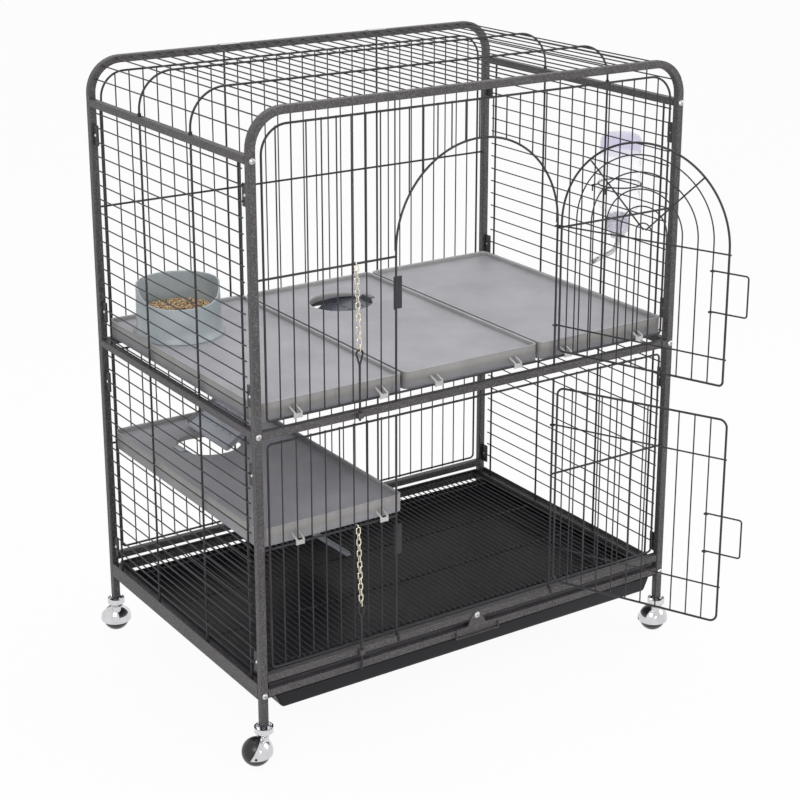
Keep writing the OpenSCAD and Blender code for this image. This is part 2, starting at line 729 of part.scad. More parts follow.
module upper_door() {
    inner_z = arch_spring_z + arch_rise;
    corner_r = 8;
    color(wire_black) hung(upper_open) {
        for (z = upper_bars) hinge_bar(z);
        translate([edge_x, door_border_y, 0]) {
            wire([corner_r + weld - door_r, 0, upper_door_z], [door_r - corner_r - weld, 0, upper_door_z], border_r);
            translate([0, 0, arch_spring_z]) wire_arch(door_r, border_r, 8);
            for (s = [-1, 1]) on_side(s) {
                translate([door_r - corner_r, 0, upper_door_z + corner_r]) wire_arc(corner_r, border_r, -90, 0);
                wire([door_r, 0, upper_door_z + corner_r + weld], [door_r, 0, arch_spring_z - weld], border_r);
            }
        }
        translate([edge_x, door_fill_y, 0]) {
            for (x = door_columns) wire([x, 0, upper_door_z + border_r + weld], [x, 0, inner_z - weld], fill_r);
            for (x = door_columns) if (x > 0) translate([0, 0, inner_z]) wire_arch(x, fill_r, 6);
        }
        for (a = [45, 135]) let (far = door_r - arch_rise * sin(a) - border_r)
            translate([edge_x, door_bar_y, inner_z])
                wire([3 * cos(a), 0, 3 * sin(a)], [far * cos(a), 0, far * sin(a)], bar_r);
    }
}

module lower_door() {
    corner_r = 14;
    inner_z = [lower_door_z[0] + border_r + weld, lower_door_z[1] - border_r - weld];
    color(wire_black) hung(lower_open) {
        for (z = lower_bars) hinge_bar(z);
        translate([edge_x, door_border_y, 0]) border(door_r, lower_door_z, corner_r, corner_r);
        translate([edge_x, door_fill_y, 0])
            for (x = door_columns) wire([x, 0, inner_z[0]], [x, 0, inner_z[1]], fill_r);
    }
}

// Loop that swings on a door's last upright and reaches past its edge
module latch_bail(open_angle, z) {
    bend = 5;
    color(wire_black) hung(open_angle) translate([bail_u, door_fill_y, z])
        for (s = [-1, 1]) mirror([0, 0, s < 0 ? 1 : 0]) {
            translate([0, 0, bail_h / 2]) {
                wire_bend(bail_eye_r, bar_r, 0, 270);
                wire([0, -bail_eye_r, 0], [bail_reach - bend, -bail_eye_r, 0], bar_r);
            }
            translate([bail_reach - bend, -bail_eye_r, bail_h / 2 - bend]) wire_arc(bend, bar_r, 0, 90);
            wire([bail_reach, -bail_eye_r, 0], [bail_reach, -bail_eye_r, bail_h / 2 - bend], bar_r);
        }
}

// Folded strips on the doorway's left edge wire that stop the shut doors and keep the bails from rattling
module catch_plates() {
    plate_h = 58;
    t = 1;
    stop_y = border_r - door_border_y + 0.5;
    for (z = [upper_bail_z - plate_h / 2, lower_bail_z - plate_h / 2])
        color(wire_black) translate([-edge_x, -post_y, z]) {
            translate([-border_r - weld - t, -border_r, 0]) cube([t, border_r + stop_y + t, plate_h]);
            translate([-border_r - weld - t, stop_y, 0]) cube([17, t, plate_h]);
        }
}

// ---------------------------------------------------------------- lock pins and chains

// Blocks on the rails that the lock pins drop through
module pin_keepers() {
    for (z = [mid_rail_z, grid_rail_z])
        color(frame_grey) translate([pin_x, 0, z]) difference() {
            translate([-5, pin_y - 4, -5]) cube([10, -front_y - pin_y + 4, 10]);
            translate([0, pin_y, 0]) cylinder(r = pin_r + 0.2, h = 12, center = true);
        }
}

// Rod with a drop-shaped eye
module lock_pin(z) {
    color(wire_black) translate([pin_x, pin_y, z]) {
        cylinder(r = pin_r, h = pin_l);
        for (s = [-1, 1]) wire([0, 0, pin_l - 1.5], [s * pin_eye_r, 0, pin_eye_z], pin_wire_r);
        translate([0, 0, pin_eye_z]) wire_arc(pin_eye_r, pin_wire_r, -8, 188);
    }
}

// Oval link standing in the XZ plane
module chain_link(length, r_in) {
    bend = r_in + link_d / 2;
    half = length / 2 - bend - link_d / 2;
    for (m = [0, 1]) mirror([0, 0, m]) translate([0, 0, half]) wire_arc(bend, link_d / 2, 0, 180);
    for (s = [-1, 1]) wire([s * bend, 0, -half], [s * bend, 0, half], link_d / 2);
}

// Chain from a ring on a crossbar down to the eye of the pin at pin_z. Each link is turned from the last.
module chain(hook_z, pin_z) {
    ring_r = border_r + 0.5 + link_d / 2;
    drop = hook_z - ring_r + link_d / 2 - (pin_z + pin_eye_z + pin_eye_r - pin_wire_r);
    lean = -front_y - pin_y + half_tube - ring_r;
    length = norm([drop, lean]);
    links = 2 * floor(length / link_pitch / 2);
    pitch = length / links;
    color(brass) translate([pin_x, -post_y, hook_z]) {
        rotate([0, 90, 0]) wire_bend(ring_r, link_d / 2, 0, 360);
        translate([0, -ring_r, link_d / 2 - ring_r]) rotate([-atan2(lean, drop), 0, 0])
            for (i = [0 : links - 1])
                translate([0, 0, -(i + 0.5) * pitch]) rotate([0, 0, i % 2 == 0 ? 0 : 90])
                    chain_link(pitch + 2 * link_d + link_play, 2);
    }
}

// ---------------------------------------------------------------- trays and ramps

module rounded_plate(size, r) {
    square([size[0] - 2 * r, size[1]], center = true);
    square([size[0], size[1] - 2 * r], center = true);
    for (x = [-1, 1], y = [-1, 1])
        translate([x * (size[0] / 2 - r), y * (size[1] / 2 - r)]) circle(r);
}

// Two prongs joined at the tip, which hook over a border wire on each side of an upright
module tray_clip(deck, wire_z) {
    arm_z = wire_z + border_r;
    prong_w = 4.5;
    reach = post_y + border_r + 4.5 - tray_half_y;
    translate([0, -tray_half_y, 0]) {
        for (x = [-9, 9]) translate([x - prong_w / 2, 0, 0]) {
            translate([0, -reach, arm_z]) cube([prong_w, reach + tray_t, 4]);
            translate([0, -reach, arm_z - 9]) cube([prong_w, 4, 9]);
        }
        translate([-9 - prong_w / 2, -reach, arm_z - 9]) cube([18 + prong_w, 4, 4]);
    }
}

// Tray with its deck top at the given height, a skirt, a rim, clips front and back, and a climbing hole
module tray(x, deck, wire_z, clips, hole = []) {
    size = [tray_w, 2 * tray_half_y];
    inner = size - 2 * [tray_t, tray_t];
    color(tray_grey) difference() {
        translate([x, 0, 0]) {
            difference() {
                translate([0, 0, deck - skirt_h]) linear_extrude(skirt_h + rim_h) rounded_plate(size, tray_r);
                translate([0, 0, deck]) linear_extrude(rim_h + over) rounded_plate(inner, tray_r - tray_t);
                translate([0, 0, deck - skirt_h - over])
                    linear_extrude(skirt_h + over - tray_t) rounded_plate(inner, tray_r - tray_t);
            }
            for (m = [0, 1], clip = clips) mirror([0, m, 0]) translate([clip - x, 0, 0]) tray_clip(deck, wire_z);
        }
        if (len(hole) > 0)
            translate([hole[0], hole[1], deck - skirt_h]) cylinder(r = hole_d / 2, h = 2 * skirt_h);
    }
}

// Channel-shaped ramp. Its head lies under the deck and hooks over a hole's rim, opposite the way it runs
// down (side -1: to the left, 1: to the right). It is wider than the hole, and its foot stands run away from
// the hole's middle.
module ramp(hole, deck, side, run, foot_deck) {
    t = 3;
    head_lap = 6;                  // how far the head reaches past the hole's rim
    hook = [10, 30, 2];            // the hook's length over the rim, its width and its thickness
    lip_t = 2.5;
    foot_over = 6;                 // extra length, cut flat where the foot stands
    tread = [4, 14, 2.2];
    tread_step = [20, (ramp_w - 2 * t) / 6];
    start = -hole_d / 2 - head_lap;
    hang = tray_t + 0.3 + t;       // depth of the head's underside under the deck's top
    drop = deck - hang - foot_deck;
    slope = atan2(drop, run - start);
    length = norm([drop, run - start]);
    lip_x = 0.3 - sqrt(pow(hole_d / 2, 2) - pow(hook[1] / 2, 2));
    lip_h = hang + (lip_x - start) * tan(slope);
    flange_start = flange_h / tan(slope);
    color(ramp_grey) translate([hole[0], hole[1], deck]) on_side(side) {
        difference() {
            translate([start, 0, -hang]) rotate([0, slope, 0]) {
                translate([0, -ramp_w / 2, 0]) cube([length + foot_over, ramp_w, t]);
                for (y = [-ramp_w / 2, ramp_w / 2 - t])
                    translate([flange_start, y, 0]) cube([length - flange_start, t, flange_h]);
                for (k = [1 : floor(length / tread_step[0]) - 1], j = [0 : 5 - k % 2])
                    translate([k * tread_step[0], (j - (5 - k % 2) / 2) * tread_step[1] - tread[1] / 2, t])
                        cube(tread);
            }
            translate([0, -ramp_w, foot_deck - deck - 2 * flange_h]) cube([2 * run, 2 * ramp_w, 2 * flange_h]);
        }
        translate([lip_x, -hook[1] / 2, -lip_h]) cube([lip_t, hook[1], lip_h + hook[2]]);
        translate([lip_x - hook[0], -hook[1] / 2, 0]) cube([hook[0] + lip_t, hook[1], hook[2]]);
    }
}

// ---------------------------------------------------------------- bowl and bottle

// Round bowl on a flared foot, with a high back, cut low at the front by a level cylinder
module bowl() {
    wall = 3.2;
    scoop_r = 100;
    floor_h = 22;
    facing = -108;
    color(bowl_grey) translate([bowl_at[0], bowl_at[1], upper_deck]) rotate([0, 0, facing]) difference() {
        rotate_extrude() polygon([[bowl_base_r - 5, 0], [bowl_base_r, 0], [bowl_base_r, 3], [bowl_top_r + 2, 14],
                                  [bowl_top_r, bowl_h], [bowl_top_r - wall, bowl_h],
                                  [bowl_top_r - wall, floor_h + 4], [bowl_top_r - wall - 4, floor_h],
                                  [0, floor_h], [0, floor_h - wall],
                                  [bowl_top_r - wall - 4, floor_h - wall], [bowl_top_r - 4, 11]]);
        translate([bowl_top_r, 0, bowl_lip_h + scoop_r]) rotate([90, 0, 0])
            cylinder(r = scoop_r, h = 4 * bowl_top_r, center = true, $fn = 96);
    }
}

module bottle() {
    wall = 1.6;
    module flask(r, z0, z1) {
        rotate_extrude() polygon([[0, z0], [neck_r + r - bottle_r, z0], [neck_r + r - bottle_r, z0 + 14],
                                  [r, z0 + 34], [r, z1 - 16], [r - 12, z1 - 2], [r - 20, z1], [0, z1]]);
    }
    color(clear_plastic) translate([bottle_x, bottle_y, bottle_z]) difference() {
        union() {
            flask(bottle_r, 0, bottle_h);
            translate([0, 0, hanger_z + bar_r - bottle_z + weld]) cylinder(r = bottle_r + 2.4, h = 3);
        }
        flask(bottle_r - wall, -over, bottle_h - wall);
    }
}

module bottle_cap() {
    color([0.92, 0.92, 0.90]) translate([bottle_x, bottle_y, cap_under]) difference() {
        cylinder(r = cap_r, h = cap_h);
        translate([0, 0, cap_h - neck_h]) cylinder(r = neck_r + weld, h = neck_h + over);
        translate([0, 0, -over]) cylinder(r = sipper_r + weld, h = cap_h);
    }
}

// Steel drinking tube, bent in between the wires, with a ball in its tip
module sipper_tube() {
    color(chrome) translate([bottle_x, bottle_y, cap_under - 5]) {
        cylinder(r = sipper_r, h = cap_h - neck_h);
        translate([-sipper_bend, 0, 0]) {
            rotate([90, 0, 0]) rotate([0, 0, -sipper_angle]) rotate_extrude(angle = sipper_angle)
                translate([sipper_bend, 0]) circle(sipper_r);
            rotate([0, sipper_angle, 0]) translate([sipper_bend, 0, -46]) cylinder(r = sipper_r, h = 46);
        }
    }
}

// Wire ring that holds the bottle, hooked over one level wire of the side panel
module bottle_hanger() {
    hook_x = post_x + fill_y - fill_r - bar_r - weld;
    arm_y = 20;
    color(wire_black) translate([0, bottle_y, hanger_z]) {
        translate([bottle_x, 0, 0]) wire_bend(hanger_r, bar_r, 0, 360);
        for (s = [-1, 1]) {
            wire([bottle_x - sqrt(pow(hanger_r, 2) - pow(arm_y, 2)) - bar_r - 0.6, s * arm_y, 0],
                 [hook_x - bar_r, s * arm_y, 0], bar_r);
            wire([hook_x, s * arm_y, -bar_r - weld], [hook_x, s * arm_y, -12], bar_r);
        }
    }
}

// ---------------------------------------------------------------- casters

// Places a caster under post number i: front left, front right, rear left, rear right
module at_post(i) {
    corner = [[-1, -1], [1, -1], [-1, 1], [1, 1]][i];
    translate([corner[0] * post_x, corner[1] * post_y, 0]) rotate([0, 0, caster_turns[i]]) children();
}

// Hood over the ball, with its boss, collar and stem
module caster_hood(i) {
    color(chrome) at_post(i) {
        difference() {
            union() {
                translate([caster_trail, 0, ball_r]) sphere(hood_r, $fn = 72);
                translate([0, 0, ball_r]) cylinder(r = 9, h = foot_z - cup_h - ball_r);
            }
            translate([caster_trail, 0, ball_r]) sphere(hood_in, $fn = 72);
            translate([caster_trail - 2 * hood_r, -2 * hood_r, -4 * over]) cube([4 * hood_r, 4 * hood_r, ball_r - 4 + 4 * over]);
            translate([caster_trail + 8, 0, ball_r]) rotate([0, -30, 0])
                translate([0, -2 * hood_r, -2 * hood_r]) cube([2 * hood_r, 4 * hood_r, 4 * hood_r]);
            translate([caster_trail, 0, ball_r]) rotate([90, 0, 0])
                cylinder(r = axle_r + pivot_clear, h = 4 * hood_r, center = true);
        }
        // Open cup under the post, with a collar in its middle that carries the post
        translate([0, 0, foot_z - cup_h - 1]) rotate_extrude()
            polygon([[0, 0], [9, 0], [cup_r, 9], [cup_r, cup_h], [cup_r - 1.5, cup_h], [cup_r - 1.5, 10],
                     [9, 3], [6.5, 3], [6.5, cup_h + 1 - weld], [0, cup_h + 1 - weld]]);
        translate([0, 0, foot_z - weld]) cylinder(r = stem_d / 2, h = stem_l);
    }
}

// Ball with its axle
module caster_ball(i) {
    color(pan_black) at_post(i) translate([caster_trail, 0, ball_r]) {
        sphere(ball_r, $fn = 72);
        rotate([90, 0, 0]) cylinder(r = axle_r, h = 2 * hood_r - 1.5, center = true);
    }
}

arch_tube(-post_y);  // front_arch_tube
arch_tube(post_y);  // rear_arch_tube
cross_rail(-post_y, mid_rail_z);  // front_mid_rail
cross_rail(post_y, mid_rail_z);  // rear_mid_rail
front_grid_rail();
cross_rail(post_y, grid_rail_z);  // rear_grid_rail
cross_rail(-post_y, pan_rail_z);  // front_pan_rail
cross_rail(post_y, pan_rail_z);  // rear_pan_rail
side_rail(-1, top_rail_z);  // left_top_rail
side_rail(1, top_rail_z);  // right_top_rail
side_rail(-1, mid_rail_z);  // left_mid_rail
side_rail(1, mid_rail_z);  // right_mid_rail
floor_rail(-1);  // left_floor_rail
floor_rail(1);  // right_floor_rail
bolts(0);  // front_bolts
bolts(180);  // rear_bolts
roof_panel();
front_upper_panel();
front_lower_panel();
rear_panel(upper_z, upper_bar_z, panel_top_r, arch_z - half_tube - weld);  // rear_upper_panel
rear_panel(lower_z, lower_bar_z, panel_corner_r, lower_z[1]);  // rear_lower_panel
side_upper_panel(-1);  // left_upper_panel
side_upper_panel(1);  // right_upper_panel
side_lower_panel(-1);  // left_lower_panel
side_lower_panel(1);  // right_lower_panel
tab_screws();
rear_clips();
floor_grid();
pan();
pan_latch();
pan_latch_screw();
upper_door();
lower_door();
latch_bail(upper_open, upper_bail_z);  // upper_latch_bail
latch_bail(lower_open, lower_bail_z);  // lower_latch_bail
catch_plates();
pin_keepers();
lock_pin(upper_pin_z);  // upper_pin
lock_pin(lower_pin_z);  // lower_pin
chain(upper_bar_z, upper_pin_z);  // upper_chain
chain(lower_bar_z, lower_pin_z);  // lower_chain
tray(-tray_x, upper_deck, upper_z[0], -outer_clips);  // left_tray
tray(0, upper_deck, upper_z[0], middle_clips, upper_hole);  // middle_tray
tray(tray_x, upper_deck, upper_z[0], outer_clips);  // right_tray
tray(-tray_x, lower_deck, lower_bar_z, -outer_clips, lower_hole);  // lower_shelf
ramp(upper_hole, upper_deck, -1, upper_ramp_run, lower_deck);  // upper_ramp
ramp(lower_hole, lower_deck, 1, lower_ramp_run, grid_top);  // lower_ramp
bowl();
bottle();
bottle_cap();
sipper_tube();
bottle_hanger();
caster_hood(0);  // front_left_hood
caster_hood(1);  // front_right_hood
caster_hood(2);  // rear_left_hood
caster_hood(3);  // rear_right_hood
caster_ball(0);  // front_left_ball
caster_ball(1);  // front_right_ball
caster_ball(2);  // rear_left_ball
caster_ball(3);  // rear_right_ball
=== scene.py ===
# %% [markdown]
# # A two-storey ferret cage
# The cage comes in as a finished construction: every tube, wire, tray and caster already has its size and
# its place. This script dresses it. It makes the moulded, stamped and turned pieces again, with the soft
# edges and thin walls that a construction drawing leaves out, and it finishes every surface.
#
# The order is: load the cage, place the camera, light it, make the finishes, then make the pieces. All
# lengths are in metres.

# %% Load the cage
import json
import math
import random

import bmesh
import bpy
from mathutils import Matrix, Vector


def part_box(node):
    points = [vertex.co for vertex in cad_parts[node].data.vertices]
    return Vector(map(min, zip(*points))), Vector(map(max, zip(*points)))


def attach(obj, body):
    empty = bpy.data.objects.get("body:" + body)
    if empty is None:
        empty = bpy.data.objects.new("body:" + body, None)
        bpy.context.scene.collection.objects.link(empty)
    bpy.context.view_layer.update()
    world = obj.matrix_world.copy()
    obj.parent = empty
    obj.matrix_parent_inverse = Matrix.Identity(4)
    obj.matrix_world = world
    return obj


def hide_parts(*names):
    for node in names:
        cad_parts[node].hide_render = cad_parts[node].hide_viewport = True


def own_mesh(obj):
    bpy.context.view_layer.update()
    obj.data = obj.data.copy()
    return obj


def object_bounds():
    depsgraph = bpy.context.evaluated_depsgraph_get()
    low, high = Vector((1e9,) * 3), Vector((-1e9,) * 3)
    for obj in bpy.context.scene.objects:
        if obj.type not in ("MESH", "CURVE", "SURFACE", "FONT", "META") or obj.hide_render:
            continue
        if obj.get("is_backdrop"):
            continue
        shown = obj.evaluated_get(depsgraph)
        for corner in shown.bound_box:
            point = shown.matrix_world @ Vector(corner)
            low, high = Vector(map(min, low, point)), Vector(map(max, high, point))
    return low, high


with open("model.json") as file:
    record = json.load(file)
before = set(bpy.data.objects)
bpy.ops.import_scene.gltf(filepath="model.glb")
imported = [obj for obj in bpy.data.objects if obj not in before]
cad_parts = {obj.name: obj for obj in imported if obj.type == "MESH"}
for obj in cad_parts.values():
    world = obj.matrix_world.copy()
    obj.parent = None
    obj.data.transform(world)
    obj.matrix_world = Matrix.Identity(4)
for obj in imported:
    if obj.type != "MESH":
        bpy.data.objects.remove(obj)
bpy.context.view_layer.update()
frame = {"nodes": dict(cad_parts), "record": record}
nodes = frame["nodes"]
scene = bpy.context.scene

# %% [markdown]
# ## Camera
# The photograph was taken from the front left, a little above the cage, with a long lens. The place, the
# angles and the lens were worked out from the corners of the frame. The camera doesn't look at the middle
# of the photograph. Turning it there would change how the posts lean, so the lens is shifted instead.

# %% Place the camera
AZIMUTH, ELEVATION = math.radians(-33.62), math.radians(16.86)
CAMERA_AT = (-1.790, -2.743, 1.690)
SENSOR, FOCAL_LENGTH, LENS_SHIFT = 36, 80.91, -0.125

back = Vector((math.sin(AZIMUTH) * math.cos(ELEVATION),
               -math.cos(AZIMUTH) * math.cos(ELEVATION),
               math.sin(ELEVATION)))
camera = bpy.data.objects.new("camera", bpy.data.cameras.new("camera"))
camera.data.sensor_width = SENSOR
camera.data.lens = FOCAL_LENGTH
camera.data.shift_y = LENS_SHIFT
camera.data.clip_end = 50
camera.location = CAMERA_AT
camera.rotation_mode = "QUATERNION"
camera.rotation_quaternion = (-back).to_track_quat("-Z", "Y")
scene.collection.objects.link(camera)
scene.camera = camera
print("camera at", camera.location[:])

# %% [markdown]
# ## Light
# A cage is mostly gaps, so it is lit from all round. One bright lamp alone would be simpler, but the
# shadows of a few hundred wires would cover everything. A bright even sky lights every side. It is plain
# white wherever the camera, a reflection or a clear piece sees it, and dimmer as a lamp, so that dark paint
# stays dark.

# %% Make the sky
SKY_AS_LAMP = 0.55

scene.view_settings.view_transform = "Standard"
world = bpy.data.worlds.new("white_sky")
scene.world = world
world.use_nodes = True
sky, join = world.node_tree.nodes, world.node_tree.links.new
rays = sky.new("ShaderNodeLightPath")
seen = rays.outputs["Is Camera Ray"]
for kind in ("Is Glossy Ray", "Is Transmission Ray"):
    either = sky.new("ShaderNodeMath")
    either.operation = "MAXIMUM"
    join(seen, either.inputs[0])
    join(rays.outputs[kind], either.inputs[1])
    seen = either.outputs[0]
level = sky.new("ShaderNodeMapRange")
level.inputs["To Min"].default_value = SKY_AS_LAMP
level.inputs["To Max"].default_value = 1.0
join(seen, level.inputs["Value"])
join(level.outputs["Result"], sky["Background"].inputs["Strength"])
sky["Background"].inputs["Color"].default_value = (1, 1, 1, 1)
print("sky at", SKY_AS_LAMP, "of white")

# %% [markdown]
# Four soft lamps shape it: a big one from the left of the camera, a weaker one from the right, one from
# above, and a small one straight in front, which draws a fine highlight along the rounded edges.

# %% Place the lamps
def soft_lamp(name, place, width, power, aim=(0, 0, 0.6)):
    """A square lamp with soft edges, turned towards a point. Its power is in watts."""
    lamp = bpy.data.objects.new(name, bpy.data.lights.new(name, "AREA"))
    lamp.data.size = width
    lamp.data.energy = power
    lamp.location = place
    lamp.rotation_mode = "QUATERNION"
    lamp.rotation_quaternion = (Vector(aim) - Vector(place)).to_track_quat("-Z", "Y")
    scene.collection.objects.link(lamp)


soft_lamp("key_lamp", (-2.6, -2.6, 2.9), width=1.8, power=55)
soft_lamp("fill_lamp", (2.8, -1.8, 1.8), width=1.6, power=22)
soft_lamp("front_lamp", (-0.3, -3.3, 1.1), width=0.35, power=13)
soft_lamp("top_lamp", (0.2, 0.6, 3.4), width=1.8, power=30, aim=(0, 0, 0.8))

# %% [markdown]
# ## Writing a finish
# A finish is a small sum: so much base colour, a little lighter where a speck is, rougher where the
# surface is scuffed. `Value` wraps one output of a node, so that such a sum can be written with + and *
# and turned into Math nodes. `Finish` holds a material, and its `node` method makes every other node.

# %% Sums of sockets
class Value:
    """One output of a material's node, which sums can be written with."""

    def __init__(self, finish, socket):
        self.finish, self.socket = finish, socket

    def sum(self, operation, *others):
        """A Math node on this value and the others."""
        return self.finish.node("ShaderNodeMath", {"operation": operation}, dict(enumerate((self, *others))))

    def __add__(self, other):
        return self.sum("ADD", other)

    def __mul__(self, other):
        return self.sum("MULTIPLY", other)

    __radd__, __rmul__ = __add__, __mul__


# %% A finish and its nodes
class Finish:
    """A material with one Principled shader, and the maker of its nodes."""

    def __init__(self, name, roughness, metallic=0.0, gloss=0.5, **sockets):
        self.material = bpy.data.materials.new(name)
        self.material.use_nodes = True
        self.tree = self.material.node_tree
        self.shader = self.tree.nodes["Principled BSDF"]
        sockets |= {"Roughness": roughness, "Metallic": metallic, "Specular IOR Level": gloss}
        for socket, value in sockets.items():
            self.shader.inputs[socket].default_value = value
        self.place = self.node("ShaderNodeTexCoord", {}, {}, "Object")

    def node(self, kind, settings, inputs, output=0):
        """Makes a node, sets it, joins or fills its sockets, and gives back one of its outputs."""
        made = self.tree.nodes.new(kind)
        for name, value in settings.items():
            if name == "stops":
                while len(made.color_ramp.elements) < len(value):
                    made.color_ramp.elements.new(1.0)
                for stop, (where, colour) in zip(made.color_ramp.elements, value):
                    stop.position, stop.color = where, (*colour, 1)
            else:
                setattr(made, name, value)
        for name, value in inputs.items():
            if isinstance(value, Value):
                self.tree.links.new(value.socket, made.inputs[name])
            else:
                made.inputs[name].default_value = value
        return Value(self, made.outputs[output])

    def noise(self, size, detail=2.0, roughness=0.5, stretch=(1, 1, 1)):
        """Clouds of about the given size, from 0 to 1. A larger stretch squeezes them."""
        spot = self.place
        if stretch != (1, 1, 1):
            spot = self.node("ShaderNodeMapping", {}, {"Vector": spot, "Scale": stretch})
        return self.node("ShaderNodeTexNoise", {},
                         {"Vector": spot, "Scale": 1 / size, "Detail": detail, "Roughness": roughness})

    def dimples(self, size):
        """Soft round cells of about the given size: 0 at each centre."""
        return self.node("ShaderNodeTexVoronoi", {"feature": "SMOOTH_F1"},
                         {"Vector": self.place, "Scale": 1 / size}, "Distance")

    def upward(self, kind):
        """The Z of a kind of coordinate: the height with Object, how far a face looks up with Normal."""
        return self.node("ShaderNodeSeparateXYZ", {}, {0: self.node("ShaderNodeTexCoord", {}, {}, kind)}, "Z")

    def ramp(self, value, *stops):
        """Colour picked by a value, from (position, colour) stops."""
        return self.node("ShaderNodeValToRGB", {"stops": stops}, {0: value}, "Color")

    def spread(self, value, low, high):
        """A value taken from the range low..high to the range 0..1, and held there."""
        return self.node("ShaderNodeMapRange", {}, {0: value, 1: low, 2: high, 3: 0.0, 4: 1.0})

    def mix(self, share, one, two, way="MIX"):
        """One colour with a share of another laid over it, or with way="MULTIPLY", darkened by it."""
        return self.node("ShaderNodeMix", {"data_type": "RGBA", "blend_type": way},
                         {"Factor": share, "A": one, "B": two}, "Result")

    def feed(self, socket, value):
        """Joins a value to one of the shader's sockets."""
        self.tree.links.new(value.socket, self.shader.inputs[socket])

    def bump(self, height, depth):
        """Raises the surface by height times depth."""
        raised = {"Height": height, "Distance": depth, "Strength": 1.0}
        self.feed("Normal", self.node("ShaderNodeBump", {}, raised, "Normal"))


# %% [markdown]
# ## Finishes of the steel
# The tubes have hammered paint: charcoal, with a fine dimpled skin and paler flecks. The wires have a
# thin black coat, paler and duller where it ran thin. A picture of real paint would show its repeats on so
# many tubes. Noise that is measured in metres doesn't repeat, and has the right scale on every part.

# %% Hammered paint
def hammered_paint():
    """Charcoal paint of 2.6 mm dimples, with 2 mm flecks and a slow drift in tone."""
    f = Finish("hammered_paint", 0.45, metallic=0.2, gloss=0.4)
    dimples = f.dimples(0.0026)
    flecks = f.spread(f.noise(0.0020, detail=1), 0.50, 0.66)
    drift = f.noise(0.12, detail=3)
    base = f.ramp(drift, (0.3, (0.050, 0.046, 0.049)), (0.7, (0.074, 0.069, 0.073)))
    f.feed("Base Color", f.mix(flecks * 0.55, base, (0.19, 0.18, 0.185, 1)))
    f.feed("Roughness", 0.34 + dimples * 0.22 + drift * 0.08)
    f.bump(dimples + flecks * 0.3, depth=0.0006)
    return f.material


# %% Black coat on the wires
def wire_coat():
    """Thin black coat with slow runs and a fine grain."""
    f = Finish("wire_coat", 0.4, gloss=0.35)
    runs = f.noise(0.05, detail=3)
    grain = f.noise(0.0012)
    f.feed("Base Color", f.ramp(runs, (0.35, (0.020, 0.018, 0.022)), (0.75, (0.040, 0.037, 0.043))))
    f.feed("Roughness", 0.26 + runs * 0.22 + grain * 0.1)
    f.bump(grain, depth=0.00012)
    return f.material


# %% Bright metal: bolts, chrome, drinking tube, chains
def bright_metal(name, colour, roughness, scratch, streaks=(1, 1, 1)):
    """Polished metal with a faint haze, and scratches of a size, drawn out along the smallest streak."""
    f = Finish(name, roughness, metallic=1.0)
    scratches = f.noise(scratch, detail=3, roughness=0.6, stretch=streaks)
    haze = f.noise(0.02)
    low = tuple(0.82 * c for c in colour)
    f.feed("Base Color", f.ramp(haze, (0.3, low), (0.7, colour)))
    f.feed("Roughness", roughness * 0.7 + scratches * roughness * 0.8)
    f.bump(scratches, depth=0.00002)
    return f.material


# %% [markdown]
# ## Finishes of the plastics
# Moulded plastic takes the texture of its mould: a fine pebbled skin on the trays, smoother on the bowl,
# and a dull sheen on the black pan. Handling leaves faint paler scuffs. On the trays and ramps, which way a
# face looks tells an edge from a wall or a top: walls and tops are darkened as painted shade, and the
# rounded edges keep the full colour as a painted highlight.

# %% Moulded plastic
# How much flat tops are darkened, as painted shade, so that rounded edges show as a painted highlight.
# The colour that the ramp's head is darkened towards, as painted shade under the deck.
PAINTED_TOP_SHADE, PAINTED_SHADE_COLOUR = (0.85, 0.85, 0.85), (0.3, 0.3, 0.32, 1)


def moulded_plastic(name, colour, roughness, pebble, depth, scuff=0.25, painted_wall_shade=None, painted_shade_heights=None, gloss=0.5,
                    alpha=1.0):
    """A moulded finish, with pebbles of a size and depth.

    With a wall colour, upright faces and flat tops are darkened as painted shade, and rounded edges keep
    the full colour as a painted highlight.
    With two heights, it darkens from none at the lower one to the most at the upper one, as painted shade.
    """
    f = Finish(name, roughness, gloss=gloss, Alpha=alpha)
    pebbles = f.noise(pebble)
    clouds = f.noise(0.09, detail=4, roughness=0.6)
    scuffs = f.spread(f.noise(0.011, detail=5, roughness=0.7, stretch=(1, 4, 1)), 0.58, 0.74)
    low = tuple(0.86 * c for c in colour)
    high = tuple(min(1.0, 1.1 * c) for c in colour)
    worn = tuple(min(1.0, 1.35 * c + 0.01) for c in colour)
    tone = f.mix(scuffs * scuff, f.ramp(clouds, (0.3, low), (0.7, high)), (*worn, 1))
    # Painted shade on walls and tops, and a painted highlight on the rounded edges between them.
    if painted_wall_shade:
        steepness = f.upward("Normal").sum("ABSOLUTE")
        shade = f.ramp(steepness, (0.3, painted_wall_shade), (0.6, (1, 1, 1)), (0.9, (1, 1, 1)), (0.985, PAINTED_TOP_SHADE))
        tone = f.mix(1.0, tone, shade, "MULTIPLY")
    # Painted shade: darker with height, towards the ramp's head under the deck.
    if painted_shade_heights:
        tone = f.mix(f.spread(f.upward("Object"), *painted_shade_heights), tone, PAINTED_SHADE_COLOUR, "MULTIPLY")
    f.feed("Base Color", tone)
    f.feed("Roughness", roughness * 0.85 + clouds * roughness * 0.25 + scuffs * 0.08)
    f.bump(pebbles, depth)
    return f.material


# %% Clear plastic
MILKY_Z = (0.934, 0.940)


def clear_plastic():
    """Clear, and milky above MILKY_Z, on the bottle's closed end, where the wall is thickest."""
    f = Finish("clear_plastic", 0.12, IOR=1.12)
    f.shader.inputs["Transmission Weight"].default_value = 1.0
    ripple = f.noise(0.02)
    milky = f.spread(f.upward("Object"), *MILKY_Z)
    f.feed("Base Color", f.ramp(milky, (0, (0.99, 0.99, 1.0)), (1, (0.80, 0.79, 0.88))))
    f.feed("Roughness", 0.04 + ripple * 0.1)
    f.bump(ripple, depth=0.0002)
    return f.material


